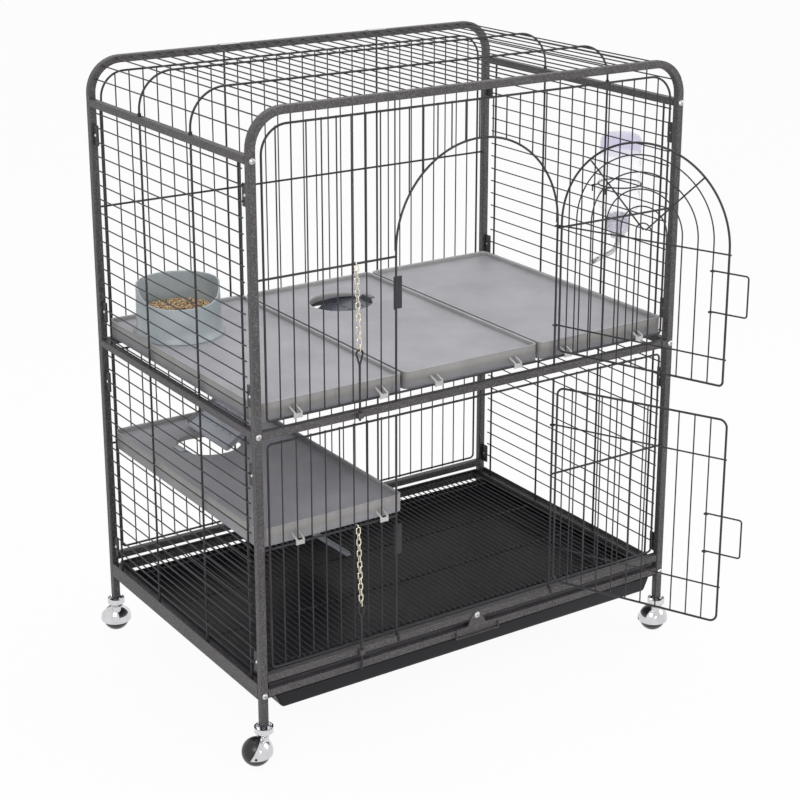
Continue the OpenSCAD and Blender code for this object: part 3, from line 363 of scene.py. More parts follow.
# %% One finish for each of the record's slots
finishes = {
    "frame_paint": hammered_paint(),
    "wire_coating": wire_coat(),
    "bright_zinc": bright_metal("bright_zinc", (0.62, 0.62, 0.63), 0.32, scratch=0.002),
    "chrome": bright_metal("polished_chrome", (0.72, 0.72, 0.74), 0.09, scratch=0.004),
    "stainless": bright_metal("steel_tube", (0.55, 0.55, 0.56), 0.25, scratch=0.001, streaks=(1, 1, 0.1)),
    "chain_brass": bright_metal("pale_brass", (0.80, 0.75, 0.63), 0.22, scratch=0.003),
    # Trays and ramp: painted shade on walls and tops, and a painted highlight on the rounded edges.
    "tray_plastic": moulded_plastic("tray_plastic", (0.445, 0.44, 0.478), 0.46, pebble=0.0016, depth=0.00012,
                                    painted_wall_shade=(0.70, 0.69, 0.62)),
    # The ramp's upper part is darkened as painted shade, where its head lies under the deck.
    "ramp_plastic": moulded_plastic("ramp_plastic", (0.62, 0.65, 0.72), 0.5, pebble=0.0012, depth=0.0001,
                                    painted_wall_shade=(0.45, 0.45, 0.45), painted_shade_heights=(0.53, 0.60)),
    "bowl_plastic": moulded_plastic("bowl_plastic", (0.40, 0.45, 0.475), 0.36, pebble=0.0012, depth=0.00006,
                                    scuff=0.15),
    "pan_plastic": moulded_plastic("pan_plastic", (0.008, 0.0075, 0.010), 0.42, pebble=0.0014, depth=0.0001,
                                   scuff=0.1, gloss=0.25),
    "bottle_plastic": clear_plastic(),
    "cap_plastic": moulded_plastic("cap_plastic", (0.78, 0.77, 0.86), 0.4, pebble=0.002, depth=0.00005,
                                   scuff=0.1, alpha=0.55),
    "ball_plastic": moulded_plastic("ball_plastic", (0.012, 0.012, 0.013), 0.3, pebble=0.002, depth=0.00006),
}
for subpart in frame["record"]["subparts"]:
    node = nodes[subpart["node"]]
    node.data.materials.clear()
    node.data.materials.append(finishes[subpart["material_slot"]])
print(len(finishes), "finishes on", len(nodes), "nodes")

# %% [markdown]
# ## Making and handing over a piece
# Every piece ends in the same way. Doubled points are merged, the faces are turned outwards, and edges
# sharper than a given angle stay crisp while the rest is shaded smooth. Then the piece is hung on the
# moving body that it rides on and gets its slot's finish, and the plain part that it stands for is hidden.

# %% Hand over a piece
def hand_over(name, bm, body, slot="", finish=None, stands_for="", crisp=40):
    """Turns a bmesh into an object that rides on a body. Its finish is its slot's, unless it has its own."""
    bmesh.ops.remove_doubles(bm, verts=bm.verts, dist=1e-6)
    bmesh.ops.recalc_face_normals(bm, faces=bm.faces)
    mesh = bpy.data.meshes.new(name)
    bm.to_mesh(mesh)
    bm.free()
    mesh.shade_smooth()
    mesh.set_sharp_from_angle(angle=math.radians(crisp))
    mesh.materials.append(finish or finishes[slot])
    piece = bpy.data.objects.new(name, mesh)
    scene.collection.objects.link(piece)
    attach(piece, body)
    if stands_for:
        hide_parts(stands_for)
    print(name, len(mesh.polygons), "faces")
    return piece


# %% [markdown]
# A moulded sheet is drawn as a surface without thickness and gets its wall last, so that the wall is even
# all round. The wall grows to the side that the faces look away from, so a sheet is turned the right way
# up first. Its largest face tells which way that is.

# %% Sheets and their walls
def points_of(parts):
    """The points among the parts that an operator made."""
    return [part for part in parts if isinstance(part, bmesh.types.BMVert)]


def draw_out(bm, edges):
    """Draws new faces out of edges. Gives the new points, which are still to be moved, and the new edges."""
    made = bmesh.ops.extrude_edge_only(bm, edges=edges)["geom"]
    return points_of(made), [part for part in made if isinstance(part, bmesh.types.BMEdge)]


def turn_largest(piece, way):
    """Turns a sheet's faces round if its largest one doesn't look up (a way of 1) or down (-1)."""
    if way * max(piece.data.polygons, key=lambda face: face.area).normal.z < 0:
        piece.data.flip_normals()


def thicken(piece, thickness, offset=-1.0):
    """Gives a sheet its wall: behind its faces with an offset of -1, half on each side with 0."""
    wall = piece.modifiers.new("wall", "SOLIDIFY")
    wall.thickness, wall.offset, wall.use_even_offset = thickness, offset, True


# %% [markdown]
# Two more helpers make shapes. A bar is a cube that is scaled and has its edges bevelled, which suits small
# ribs and lips. What comes off a lathe, such as the bowl, is one profile that is spun about an axis.

# %% Bars and turned shapes
def add_bar(bm, low, high, edge):
    """Adds a small moulded bar between two corners, with its edges rounded."""
    middle, size = (Vector(low) + Vector(high)) / 2, Vector(high) - Vector(low)
    verts = bmesh.ops.create_cube(bm, size=1)["verts"]
    bmesh.ops.transform(bm, matrix=Matrix.LocRotScale(middle, None, size), verts=verts)
    edges = list(dict.fromkeys(e for v in verts for e in v.link_edges))
    bmesh.ops.bevel(bm, geom=edges, affect="EDGES", offset=edge, segments=2, profile=0.5, material=-1)


def lathe(bm, profile, steps, centre=(0, 0, 0)):
    """Spins a profile of (radius, height) points about an upright axis."""
    verts = [bm.verts.new((radius, 0, height)) for radius, height in profile]
    edges = [bm.edges.new(pair) for pair in zip(verts, verts[1:])]
    bmesh.ops.spin(bm, geom=verts + edges, cent=(0, 0, 0), axis=(0, 0, 1), angle=math.tau, steps=steps,
                   use_merge=True)
    bmesh.ops.remove_doubles(bm, verts=bm.verts, dist=1e-6)
    bmesh.ops.translate(bm, vec=centre, verts=bm.verts)


# %% [markdown]
# ## Rounded copies
# Folded and cast parts have the right shape already, but no real edge is as sharp as in the construction,
# and only a rounded edge catches a line of light. A copy of the part is merged, its flat facets are joined,
# and a bevel rounds what is left. Making these parts from nothing would only repeat their sizes.

# %% Round the edges of folded and cast parts
SHARP = math.radians(40)


def rounded_copy(node, slot, edge):
    """Stands a copy of a part in for it, with its sharp edges rounded."""
    bm = bmesh.new()
    bm.from_mesh(nodes[node].data)
    bmesh.ops.remove_doubles(bm, verts=bm.verts, dist=1e-5)
    bmesh.ops.dissolve_limit(bm, angle_limit=math.radians(0.5), verts=bm.verts, edges=bm.edges)
    piece = hand_over(node + "_rounded", bm, "cage", slot, stands_for=node)
    bevel = piece.modifiers.new("edge", "BEVEL")
    bevel.limit_method = "ANGLE"
    bevel.width, bevel.segments, bevel.angle_limit = edge, 2, SHARP


rounded_copy("catch_plates", "wire_coating", 0.0003)
rounded_copy("pin_keepers", "frame_paint", 0.001)
rounded_copy("rear_clips", "bright_zinc", 0.0003)
for side in ("left", "right"):
    rounded_copy(side + "_floor_rail", "frame_paint", 0.0005)

# %% [markdown]
# ## Pan
# The pan is one moulded sheet that slides in on two rails. Its floor is a single face. The walls are drawn
# up from it, leaning at the sides, and then the bottom edges and the corners are rounded together, which
# makes the corners meet by themselves. After that the side rims that slide on the rails are drawn out, and
# the front and rear edges a little up.

# %% Make the pan
PAN_Y, PAN_Z = (-0.305, 0.287), (0.1004, 0.1266)
PAN_FLOOR_HALF, PAN_MOUTH_HALF, PAN_RIM_HALF = 0.4135, 0.4257, 0.441
PAN_CORNER_R, PAN_T, HAIR = 0.006, 0.0018, 0.0005


def mouth_edges(bm, where):
    """The open edges along the pan's mouth whose two ends are where a test says."""
    return [e for e in bm.edges if e.is_boundary
            and all(v.co.z > PAN_Z[1] - HAIR and where(v.co) for v in e.verts)]


bm = bmesh.new()
bmesh.ops.create_grid(bm, x_segments=1, y_segments=1, size=1)
bmesh.ops.scale(bm, vec=(PAN_FLOOR_HALF, (PAN_Y[1] - PAN_Y[0]) / 2, 1), verts=bm.verts)
bmesh.ops.translate(bm, vec=(0, sum(PAN_Y) / 2, PAN_Z[0]), verts=bm.verts)
mouth, _ = draw_out(bm, bm.edges[:])
bmesh.ops.translate(bm, vec=(0, 0, PAN_Z[1] - PAN_Z[0]), verts=mouth)
bmesh.ops.scale(bm, vec=(PAN_MOUTH_HALF / PAN_FLOOR_HALF, 1, 1), verts=mouth)
bmesh.ops.bevel(bm, geom=[e for e in bm.edges if not e.is_boundary], affect="EDGES", offset=PAN_CORNER_R,
                segments=4, profile=0.5, material=-1)
rims, _ = draw_out(bm, mouth_edges(bm, lambda at: abs(at.x) > PAN_MOUTH_HALF - 2 * HAIR))
for v in rims:
    v.co.x += math.copysign(PAN_RIM_HALF - PAN_MOUTH_HALF, v.co.x)
ends, _ = draw_out(bm, mouth_edges(bm, lambda at: at.y < PAN_Y[0] + HAIR or at.y > PAN_Y[1] - HAIR))
bmesh.ops.translate(bm, vec=(0, 0, PAN_T), verts=ends)
pan = hand_over("pan_moulded", bm, "pan", "pan_plastic", stands_for="pan")
turn_largest(pan, -1)
thicken(pan, PAN_T)

# %% [markdown]
# ## Pan latch
# The latch is a stamped plate that turns on one screw and keeps the pan in. Half of its outline is written
# down and mirrored. The plate is drawn forward from the outline, and bars along its foot and ends make the
# lip that the press folds out.

# %% Stamp the latch
LATCH_BACK, LATCH_T, LATCH_HALF = -0.3071, 0.0016, 0.0485
LATCH_LOW, LATCH_SHOULDER, LATCH_TOP = 0.1289, 0.147, 0.174
LIP_OUT, LIP_SUNK, LIP_WALL, LIP_R = 0.0042, 0.0002, 0.002, 0.0008
LIP_END_Z = 0.1415

right_half = [(0.005, LATCH_TOP), (0.009, LATCH_TOP - 0.004), (0.020, LATCH_SHOULDER + 0.002),
              (0.022, LATCH_SHOULDER), (LATCH_HALF - 0.005, LATCH_SHOULDER),
              (LATCH_HALF, LATCH_SHOULDER - 0.005), (LATCH_HALF, LATCH_LOW)]
outline = right_half + [(-x, z) for x, z in reversed(right_half)]
bm = bmesh.new()
plate = bm.faces.new([bm.verts.new((x, LATCH_BACK, z)) for x, z in outline])
drawn = bmesh.ops.extrude_face_region(bm, geom=[plate])["geom"]
bmesh.ops.translate(bm, vec=(0, -LATCH_T, 0), verts=points_of(drawn))
bmesh.ops.bevel(bm, geom=bm.edges[:], affect="EDGES", offset=0.0004, segments=2, profile=0.5, material=-1)
lip_y = (LATCH_BACK - LATCH_T - LIP_OUT, LATCH_BACK - LATCH_T + LIP_SUNK)
add_bar(bm, (-LATCH_HALF, lip_y[0], LATCH_LOW), (LATCH_HALF, lip_y[1], LATCH_LOW + LIP_WALL), LIP_R)
for side in (-1, 1):
    left, right = sorted((side * LATCH_HALF, side * (LATCH_HALF - LIP_WALL)))
    add_bar(bm, (left, lip_y[0], LATCH_LOW), (right, lip_y[1], LIP_END_Z), LIP_R)
hand_over("pan_latch_stamped", bm, "pan_latch", "frame_paint", stands_for="pan_latch", crisp=30)

# %% [markdown]
# ## Trays and shelf
# Each tray is one moulded sheet: a flat deck, a raised bead round it, and a plain skirt. The outline
# starts as a square whose corners are bevelled round. Insets raise the bead and lower the deck. The skirt
# is drawn down from the bead's first step, which leaves a fine lip outside it. A block would need a second
# shape cut out of it from below, where a sheet only needs its thickness.

# %% Sizes of the trays
TRAY_W, TRAY_D, TRAY_X = 0.294667, 0.576, 0.297667
UPPER_DECK, LOWER_DECK = 0.654, 0.428
RIM, BEAD, SKIRT, EDGE_STRIP = 0.0085, 0.002, 0.025, 0.0045
CORNER_R, TRAY_T = 0.013, 0.0026
# Steps inwards over the bead, each with its width and its rise, and then down to the deck
BEAD_STEPS = ((0.0007, 0.0013), (0.0010, 0.0007), (0.0018, 0), (0.0010, -0.0007), (0.0007, -0.0013),
              (0.0004, BEAD - RIM))
print("decks at", UPPER_DECK, "and", LOWER_DECK)

# %% [markdown]
# A climbing hole goes through the middle tray and the shelf. The deck is filled with triangles between its
# edge and a ring, and the ring is drawn inwards and down for a rounded collar. The collar is shallow where
# the ramp hooks on, and deeper elsewhere.

# %% Cut a climbing hole
HOLE_R, HOLE_ROUND, COLLAR_DEEPER = 0.062, 0.003, 0.007
COLLAR_STEPS = ((0.0022, 0.0008), (0.0008, 0.0022), (0, 0.0025))
UPPER_HOLE, LOWER_HOLE = Vector((0, 0.160)), Vector((-0.310667, 0.143))


def add_climbing_hole(bm, deck_edges, deck, hole, hook_side):
    """Fills a deck up to a round hole and draws its collar down. The ramp hooks on at +X (1) or -X (-1)."""
    ring = bmesh.ops.create_circle(bm, segments=56, radius=HOLE_R + HOLE_ROUND)["verts"]
    bmesh.ops.translate(bm, vec=(hole.x, hole.y, deck), verts=ring)
    ring_edges = list(dict.fromkeys(e for v in ring for e in v.link_edges))
    bmesh.ops.triangle_fill(bm, edges=deck_edges + ring_edges, use_beauty=True, normal=(0, 0, 1))
    for shrink, drop in COLLAR_STEPS:
        ring, ring_edges = draw_out(bm, ring_edges)
        radius = (ring[0].co.xy - hole).length
        narrower = (radius - shrink) / radius
        bmesh.ops.scale(bm, vec=(narrower, narrower, 1), verts=ring,
                        space=Matrix.Translation((-hole.x, -hole.y, 0)))
        bmesh.ops.translate(bm, vec=(0, 0, -drop), verts=ring)
    for v in ring:
        v.co.z -= COLLAR_DEEPER * min(1, 1 - hook_side * (v.co.x - hole.x) / HOLE_R)


# %% Make the trays
def moulded_tray(node, x, deck, hole=None, hook_side=0):
    """Stands a moulded tray in for a plain one."""
    bm = bmesh.new()
    bmesh.ops.create_grid(bm, x_segments=1, y_segments=1, size=1)
    bmesh.ops.scale(bm, vec=(TRAY_W / 2, TRAY_D / 2, 1), verts=bm.verts)
    bmesh.ops.translate(bm, vec=(x, 0, deck + RIM - BEAD), verts=bm.verts)
    bmesh.ops.bevel(bm, geom=bm.verts[:], affect="VERTICES", offset=CORNER_R, segments=6, profile=0.5,
                    material=-1)
    top = bm.faces[:][0]
    outline = top.edges[:]
    for width, rise in BEAD_STEPS:
        bmesh.ops.inset_region(bm, faces=[top], thickness=width, depth=rise, use_boundary=True,
                               use_even_offset=True)
    if hole:
        deck_edges = top.edges[:]
        bmesh.ops.delete(bm, geom=[top], context="FACES_ONLY")
        add_climbing_hole(bm, deck_edges, deck, hole, hook_side)
    for drop in (EDGE_STRIP, RIM + SKIRT - BEAD - EDGE_STRIP):
        lowered, outline = draw_out(bm, outline)
        bmesh.ops.translate(bm, vec=(0, 0, -drop), verts=lowered)
    tray = hand_over(node + "_moulded", bm, "cage", "tray_plastic", stands_for=node, crisp=50)
    turn_largest(tray, 1)
    thicken(tray, TRAY_T)


moulded_tray("left_tray", -TRAY_X, UPPER_DECK)
moulded_tray("middle_tray", 0, UPPER_DECK, UPPER_HOLE, hook_side=1)
moulded_tray("right_tray", TRAY_X, UPPER_DECK)
moulded_tray("lower_shelf", -TRAY_X, LOWER_DECK, LOWER_HOLE, hook_side=-1)

# %% [markdown]
# ## Tray clips
# The trays hang on the border wires by clips of milky plastic, with a prong on each side of an upright
# wire. Each prong starts below the tray's rim, slopes over the wire and runs down in front of it; a small
# plate joins the two. A prong is flat, so its side view is drawn once and given its width.

# %% Make the tray clips
CLIP_OUT, CLIP_T, CLIP_W, PRONG_W = 0.3065, 0.003, 0.0165, 0.0034
SKIRT_Y = TRAY_D / 2 - 0.0005
# A prong from the side: how far out it is, and how high over the wire
PRONG = ((SKIRT_Y, 0.0145), (CLIP_OUT, 0.0085), (CLIP_OUT, -0.0025), (CLIP_OUT - CLIP_T, -0.0025),
         (CLIP_OUT - CLIP_T, 0.0065), (SKIRT_Y, 0.0108))
PLATE_IN, PLATE_SUNK, PLATE_Z, PLATE_R = 0.001, 0.0002, (-0.0023, 0.006), 0.0006
CLIP_R, CLIP_CORNER, SHORTEST_EDGE = 0.0004, 0.8, 0.0025
UPPER_WIRE_Z, LOWER_WIRE_Z = 0.634, 0.404
OUTER_CLIPS, MIDDLE_CLIPS = (0.37302, 0.20209), (-0.0868, 0.0868)
milky = moulded_plastic("milky_plastic", (0.47, 0.47, 0.46), 0.38, pebble=0.002, depth=0.00004, scuff=0.1)


def tray_clips(name, places, wire_z):
    """One tray's clips at the front and the rear, at the given places along X."""
    bm = bmesh.new()
    for x in places:
        for front in (-1, 1):
            for left in (x - CLIP_W / 2, x + CLIP_W / 2 - PRONG_W):
                side = bm.faces.new([bm.verts.new((left, front * y, wire_z + z)) for y, z in PRONG])
                made = bmesh.ops.extrude_face_region(bm, geom=[side])["geom"]
                bmesh.ops.translate(bm, vec=(PRONG_W, 0, 0), verts=points_of(made))
            near, far = sorted((front * (CLIP_OUT - CLIP_T), front * CLIP_OUT))
            add_bar(bm, (x - CLIP_W / 2 + PLATE_IN, near + PLATE_SUNK, wire_z + PLATE_Z[0]),
                    (x + CLIP_W / 2 - PLATE_IN, far - PLATE_SUNK, wire_z + PLATE_Z[1]), PLATE_R)
    bmesh.ops.recalc_face_normals(bm, faces=bm.faces)
    sharp = [e for e in bm.edges if len(e.link_faces) == 2 and e.calc_face_angle() > CLIP_CORNER
             and e.calc_length() > SHORTEST_EDGE]
    bmesh.ops.bevel(bm, geom=sharp, offset=CLIP_R, segments=1, profile=0.5, affect="EDGES", material=-1)
    hand_over(name, bm, "cage", "bowl_plastic", finish=milky)


tray_clips("left_tray_clips", [-x for x in OUTER_CLIPS], UPPER_WIRE_Z)
tray_clips("middle_tray_clips", MIDDLE_CLIPS, UPPER_WIRE_Z)
tray_clips("right_tray_clips", OUTER_CLIPS, UPPER_WIRE_Z)
tray_clips("lower_shelf_clips", [-x for x in OUTER_CLIPS], LOWER_WIRE_Z)

# %% [markdown]
# ## Ramps
# A ramp is a shallow channel of blue-grey plastic with a curled foot. Its head lies under the deck, where
# its sides are cut lower to clear it, and a lip hooks up over the hole's rim. A ramp could be drawn in its
# slope, but every length is plainer when it lies level. So it is made level and tilted into place.

# %% Shape the channel
RAMP_W, FLANGE, FOOT_R, RAMP_T = 0.168, 0.012, 0.0045, 0.0028
SHEET_Z, FOOT_TURN = 0.0015, math.radians(120)


def ramp_channel(length, slope):
    """A level channel along X: a section drawn along its length, with a foot that is spun upwards."""
    end, clear = length - 0.006, FLANGE / math.tan(slope)
    half, top = RAMP_W / 2 - 0.0015, FLANGE - 0.0005
    bm = bmesh.new()
    rings = []
    for x, height in ((0.0002, 0.004), (clear, 0.006), (clear + 0.006, top), (end, top)):
        bend = min(0.005, height - 0.001)
        left = [(-half, height), (-half, bend), (-half + 0.001, 0.0025), (-half + 0.0035, SHEET_Z)]
        section = left + [(-y, z) for y, z in reversed(left)]
        rings.append([bm.verts.new((x, y, z)) for y, z in section])
    for one, two in zip(rings, rings[1:]):
        for k in range(len(one) - 1):
            bm.faces.new((one[k], one[k + 1], two[k + 1], two[k]))
    foot = [e for e in bm.edges if all(v in rings[-1] and v.co.z < 2 * SHEET_Z for v in e.verts)]
    bmesh.ops.spin(bm, geom=foot + list(dict.fromkeys(v for e in foot for v in e.verts)),
                   cent=(end, 0, SHEET_Z + FOOT_R), axis=(0, -1, 0), angle=FOOT_TURN, steps=6)
    return bm


# %% [markdown]
# Short raised dashes, laid like bricks, give the paws a hold. They are many, so each is a bar of few faces.

# %% Lay the treads
TREAD, TREAD_Z, TREAD_R = Vector((0.004, 0.014, 0.0022)), 0.0024, 0.0008
ROW, DASH = 0.020, 0.027


def ramp_treads(length):
    """Rows of five and six dashes by turns, on a level ramp along X."""
    bm = bmesh.new()
    for row in range(1, int(length / ROW)):
        dashes = 6 - row % 2
        for k in range(dashes):
            low = Vector((row * ROW, (k - (dashes - 1) / 2) * DASH - TREAD.y / 2, TREAD_Z))
            add_bar(bm, low, low + TREAD, TREAD_R)
    return bm


# %% Make the ramps
HANG, HEAD_BACK, GRID_TOP = 0.0063, 0.006, 0.15025
HOOK_L, HOOK_W, HOOK_T, LIP_T, HOOK_R, HOOK_PLAY = 0.010, 0.030, 0.002, 0.0025, 0.0007, 0.0003


def moulded_ramp(node, hole, deck, side, run, foot_deck):
    """A ramp that leaves a hole to the right (1) or left (-1) and lands at a run from the hole's middle."""
    head = -HOLE_R - HEAD_BACK
    reach, drop = run - head, deck - HANG - foot_deck
    slope, length = math.atan2(drop, reach), math.hypot(drop, reach)
    upright = Matrix.Translation((*hole, deck)) @ Matrix.Rotation(0 if side > 0 else math.pi, 4, "Z")
    tilt = upright @ Matrix.Translation((head, 0, -HANG)) @ Matrix.Rotation(slope, 4, "Y")
    bm = ramp_channel(length, slope)
    bmesh.ops.transform(bm, matrix=tilt, verts=bm.verts)
    channel = hand_over(node + "_channel", bm, "cage", "ramp_plastic", stands_for=node, crisp=50)
    thicken(channel, RAMP_T, offset=0)
    bm = ramp_treads(length)
    bmesh.ops.transform(bm, matrix=tilt, verts=bm.verts)
    treads = set(bm.verts)
    lip = HOOK_PLAY - math.sqrt(HOLE_R ** 2 - HOOK_W ** 2 / 4)
    hook_end = (lip + LIP_T, HOOK_W / 2, HOOK_T)
    add_bar(bm, (lip, -HOOK_W / 2, -HANG - (lip - head) * math.tan(slope)), hook_end, HOOK_R)
    add_bar(bm, (lip - HOOK_L, -HOOK_W / 2, 0), hook_end, HOOK_R)
    bmesh.ops.transform(bm, matrix=upright, verts=[v for v in bm.verts if v not in treads])
    hand_over(node + "_treads", bm, "cage", "ramp_plastic")
    print(node, "is", round(length, 3), "long")


moulded_ramp("upper_ramp", UPPER_HOLE, UPPER_DECK, side=-1, run=0.307, foot_deck=LOWER_DECK)
moulded_ramp("lower_ramp", LOWER_HOLE, LOWER_DECK, side=1, run=0.262, foot_deck=GRID_TOP)

# %% [markdown]
# ## Bowl
# The bowl is turned from one profile: a flared foot, a wall that narrows a little, and a rounded lip. Its
# front is low. Cutting the front away would leave a sharp edge there. Instead the points of the wall are
# pulled down, each by its share of the height, so that the lip stays round all the way.

# %% Turn the bowl
BOWL_AT, BOWL_FACING = Vector((-0.355667, 0.162)), math.radians(-108)
BOWL_R, BOWL_H, BOWL_FLOOR, WALL_START = 0.078, 0.098, 0.022, 0.0235
LOW_LIP, SCOOP_R = 0.066, 0.100


def lip_height(across):
    """Height of the scooped lip at a distance from the axis, towards the low side."""
    away = BOWL_R - across
    if away >= SCOOP_R:
        return BOWL_H
    return min(BOWL_H, LOW_LIP + SCOOP_R - math.sqrt(SCOOP_R ** 2 - away ** 2))


foot = [(0.0, 0.0188), (0.068, 0.0188), (0.074, 0.011), (0.0805, 0.0002), (0.0852, 0.0002), (0.086, 0.001),
        (0.0858, 0.003), (0.083, 0.007), (0.0805, 0.013), (0.0798, 0.02)]
outside = [(0.0798 - 0.0018 * t, 0.02 + (BOWL_H - 0.0225) * t) for t in (0.25, 0.5, 0.75, 1.0)]
lip = [(0.0780, 0.0966), (0.0770, 0.0978), (0.0756, 0.0978), (0.0748, 0.0964), (0.0748, 0.0945)]
inside = [(0.0748, 0.026 + (BOWL_H - 0.030) * t) for t in (0.75, 0.5, 0.25, 0.0)]
bottom = [(0.0738, WALL_START), (0.0708, BOWL_FLOOR), (0.0, BOWL_FLOOR)]
bm = bmesh.new()
lathe(bm, foot + outside + lip + inside + bottom, 96)
for v in bm.verts:
    if v.co.z > WALL_START:
        share = (v.co.z - WALL_START) / (BOWL_H - WALL_START)
        v.co.z -= share * (BOWL_H - lip_height(v.co.x))
bowl_place = Matrix.Translation((*BOWL_AT, UPPER_DECK)) @ Matrix.Rotation(BOWL_FACING, 4, "Z")
bmesh.ops.transform(bm, matrix=bowl_place, verts=bm.verts)
hand_over("bowl_turned", bm, "cage", "bowl_plastic", stands_for="bowl", crisp=50)

# %% [markdown]
# ## Food
# The food is a heap of small pressed pieces in mixed browns with some green. Its pieces are spheres of few
# faces, flattened and tumbled at random over a low dome, which fills the gaps between them. The colours
# come from a coarse noise, so that a piece shows one or two of them.

# %% Mix the food's colours
food = Finish("mixed_food", 0.75)
food.feed("Base Color", food.ramp(
    food.noise(0.0065, detail=0),
    (0.28, (0.08, 0.05, 0.035)), (0.40, (0.24, 0.13, 0.075)), (0.50, (0.50, 0.34, 0.20)),
    (0.60, (0.68, 0.53, 0.33)), (0.68, (0.36, 0.22, 0.12)), (0.76, (0.12, 0.26, 0.06))))
food.bump(food.noise(0.0012, detail=3), depth=0.0003)
print("food is", food.material.name)

# %% Pour in the food
FOOD_Z, HEAP_R, SAG, LUMPS = 0.703, 0.0715, 1.3, 700
FLATNESS, TILT = Vector((1, 0.8, 0.6)), 0.6

draw = random.Random(7)
bm = bmesh.new()
lathe(bm, [(0.0, FOOD_Z), (0.035, FOOD_Z - 0.001), (0.060, FOOD_Z - 0.004), (0.0735, FOOD_Z - 0.010)], 32,
      (*BOWL_AT, 0))
for _ in range(LUMPS):
    ring, turn = HEAP_R * math.sqrt(draw.random()), draw.uniform(0, math.tau)
    height = FOOD_Z + 0.0005 - SAG * ring ** 2 + draw.uniform(-0.001, 0.002)
    size = draw.uniform(0.0020, 0.0046)
    lump = bmesh.ops.create_uvsphere(bm, u_segments=6, v_segments=4, radius=1)["verts"]
    tumble = Matrix.Rotation(draw.uniform(0, math.tau), 4, "Z")
    tumble @= Matrix.Rotation(draw.uniform(-TILT, TILT), 4, "X")
    place = BOWL_AT + ring * Vector((math.cos(turn), math.sin(turn)))
    bmesh.ops.transform(bm, verts=lump, matrix=Matrix.Translation((*place, height)) @ tumble
                        @ Matrix.Diagonal((*(size * FLATNESS), 1)))
hand_over("food_heap", bm, "cage", finish=food.material)

# %% [markdown]
# ## Chains
# Each lock pin hangs on a short chain, whose links look a little wider than the construction's. A copy of
# the construction's chain is widened sideways, so that each link still passes through the next. When the
# pin is lifted the real chain goes slack; this copy keeps the construction's pose.

# %% Widen the chains
PIN_LIFT, LINK_WIDER = 0.030, 1.4

for side in ("upper", "lower"):
    chain = side + "_chain"
    low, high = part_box(chain)
    middle = (low[0] + high[0]) / 2
    bm = bmesh.new()
    bm.from_mesh(nodes[chain].data)
    bmesh.ops.scale(bm, vec=(LINK_WIDER, 1, 1), verts=bm.verts, space=Matrix.Translation((-middle, 0, 0)))
    links = hand_over(chain + "_links", bm, "cage", "chain_brass", stands_for=chain)
    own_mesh(links)

# %% [markdown]
# ## Drinking bottle
# The bottle is clear plastic with shallow ribs, hung upside down over its white screw cap. Its wall is one
# spun profile that gets a thickness, as blowing it in a mould gives it one. The cap is turned too, and then
# every second face round its side is pulled out for the grip.

# %% Blow the bottle
BOTTLE_AT, MOUTH_Z = Vector((0.50327, -0.082)), 0.800
BOTTLE_R, NECK_R, BOTTLE_T = 0.041, 0.018, 0.0013
RIBS, RIB_Z, RIB_PITCH, RIB_DEPTH = 5, 0.058, 0.020, 0.0016

profile = [(NECK_R, 0.0), (NECK_R, 0.0135), (NECK_R + 0.002, 0.0155), (BOTTLE_R - 0.008, 0.024),
           (BOTTLE_R - 0.002, 0.030), (BOTTLE_R, 0.037)]
for k in range(RIBS):
    z = RIB_Z + k * RIB_PITCH
    profile += [(BOTTLE_R, z), (BOTTLE_R - RIB_DEPTH, z + 0.0015), (BOTTLE_R - RIB_DEPTH, z + 0.0035),
                (BOTTLE_R, z + 0.005)]
profile += [(BOTTLE_R, 0.160), (BOTTLE_R - 0.0012, 0.167), (BOTTLE_R - 0.005, 0.1725),
            (BOTTLE_R - 0.012, 0.176), (BOTTLE_R - 0.022, 0.1775), (0.0, 0.1778)]
bm = bmesh.new()
lathe(bm, profile, 64, (*BOTTLE_AT, MOUTH_Z))
bottle = hand_over("bottle_blown", bm, "cage", "bottle_plastic", stands_for="bottle", crisp=60)
thicken(bottle, BOTTLE_T)

# %% Turn the screw cap
CAP_R, CAP_H, CAP_BELOW, GRIP_STEPS = 0.024, 0.047, 0.035, 64
TUBE_R, SEAT_Z, SIDE_R = 0.0048, 0.036, CAP_R - 0.0012

bm = bmesh.new()
lathe(bm, [(TUBE_R, 0.0), (0.012, 0.0), (0.014, 0.001), (0.015, 0.010), (CAP_R - 0.003, 0.014),
           (SIDE_R, 0.016), (SIDE_R, CAP_H - 0.0015), (CAP_R - 0.0028, CAP_H), (NECK_R + 0.0002, CAP_H),
           (NECK_R + 0.0002, SEAT_Z), (TUBE_R, SEAT_Z), (TUBE_R, 0.0)], GRIP_STEPS)


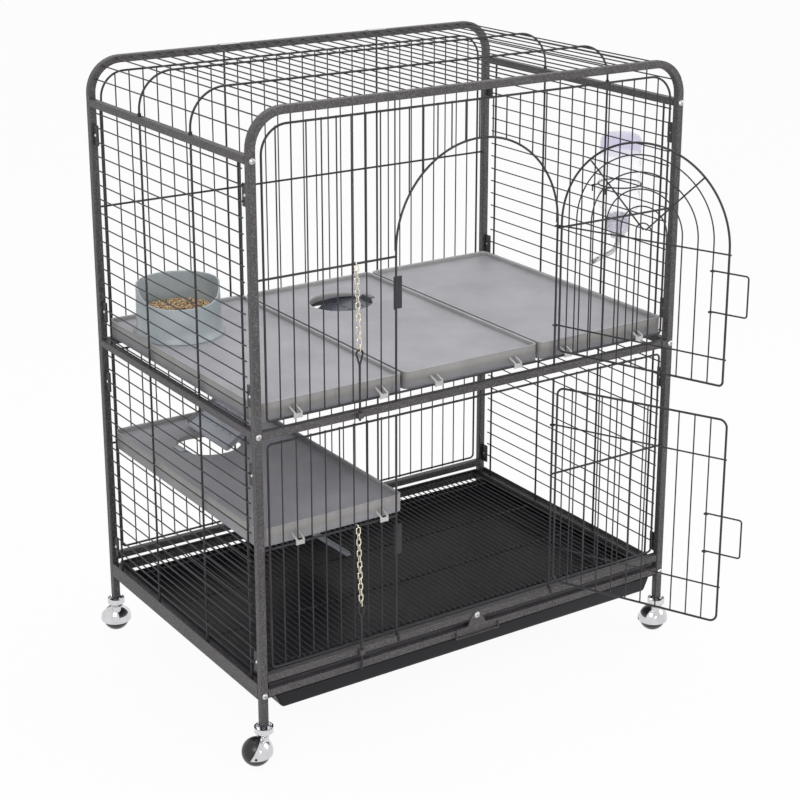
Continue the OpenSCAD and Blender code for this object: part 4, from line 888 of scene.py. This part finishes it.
def is_grip(face):
    """Whether a face is one of every second tall face round the cap's side."""
    middle = face.calc_center_median()
    tall = abs(face.normal.z) < 0.2 and face.calc_area() > 4e-5 and middle.xy.length > CAP_R - 0.003
    return tall and int((math.atan2(*middle.xy) + math.pi) / math.tau * GRIP_STEPS) % 2 == 1


bmesh.ops.inset_individual(bm, faces=[f for f in bm.faces if is_grip(f)], thickness=0.0003, depth=0.0010)
bmesh.ops.translate(bm, vec=(*BOTTLE_AT, MOUTH_Z - CAP_BELOW), verts=bm.verts)
hand_over("screw_cap", bm, "cage", "cap_plastic", stands_for="bottle_cap")

# %% [markdown]
# ## Floor
# The floor is a large pale plane. More light would make it look white, and would bleach the cage as well.
# So the floor glows in white to the camera, to reflections and through clear pieces. It keeps a small part
# of its shade, so that the cage stands on its own soft shadow.

# %% Lay the floor
FLOOR_HALF, GLOW = 20, 0.95

bm = bmesh.new()
bmesh.ops.create_grid(bm, x_segments=1, y_segments=1, size=FLOOR_HALF)
floor = bpy.data.objects.new("floor", bpy.data.meshes.new("floor"))
bm.to_mesh(floor.data)
bm.free()
scene.collection.objects.link(floor)
pale = Finish("pale_floor", 0.9)
pale.shader.inputs["Base Color"].default_value = (0.86, 0.86, 0.86, 1)
eye, gloss, glass = (pale.node("ShaderNodeLightPath", {}, {}, kind)
                     for kind in ("Is Camera Ray", "Is Glossy Ray", "Is Transmission Ray"))
shown = eye.sum("MAXIMUM", gloss).sum("MAXIMUM", glass)
white = pale.node("ShaderNodeEmission", {}, {"Color": (1, 1, 1, 1), "Strength": 1.0})
shaded = Value(pale, pale.shader.outputs[0])
both = pale.node("ShaderNodeMixShader", {}, {0: shown * GLOW, 1: shaded, 2: white})
pale.tree.links.new(both.socket, pale.tree.nodes["Material Output"].inputs["Surface"])
floor.data.materials.append(pale.material)
floor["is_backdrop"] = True
print("floor of", 2 * FLOOR_HALF, "metres")

# %% [markdown]
# ## Sizes and end
# The box that everything shown takes up is printed.

# %% Write the sizes and finish
low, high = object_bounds()
print("visual box", low[:], high[:])
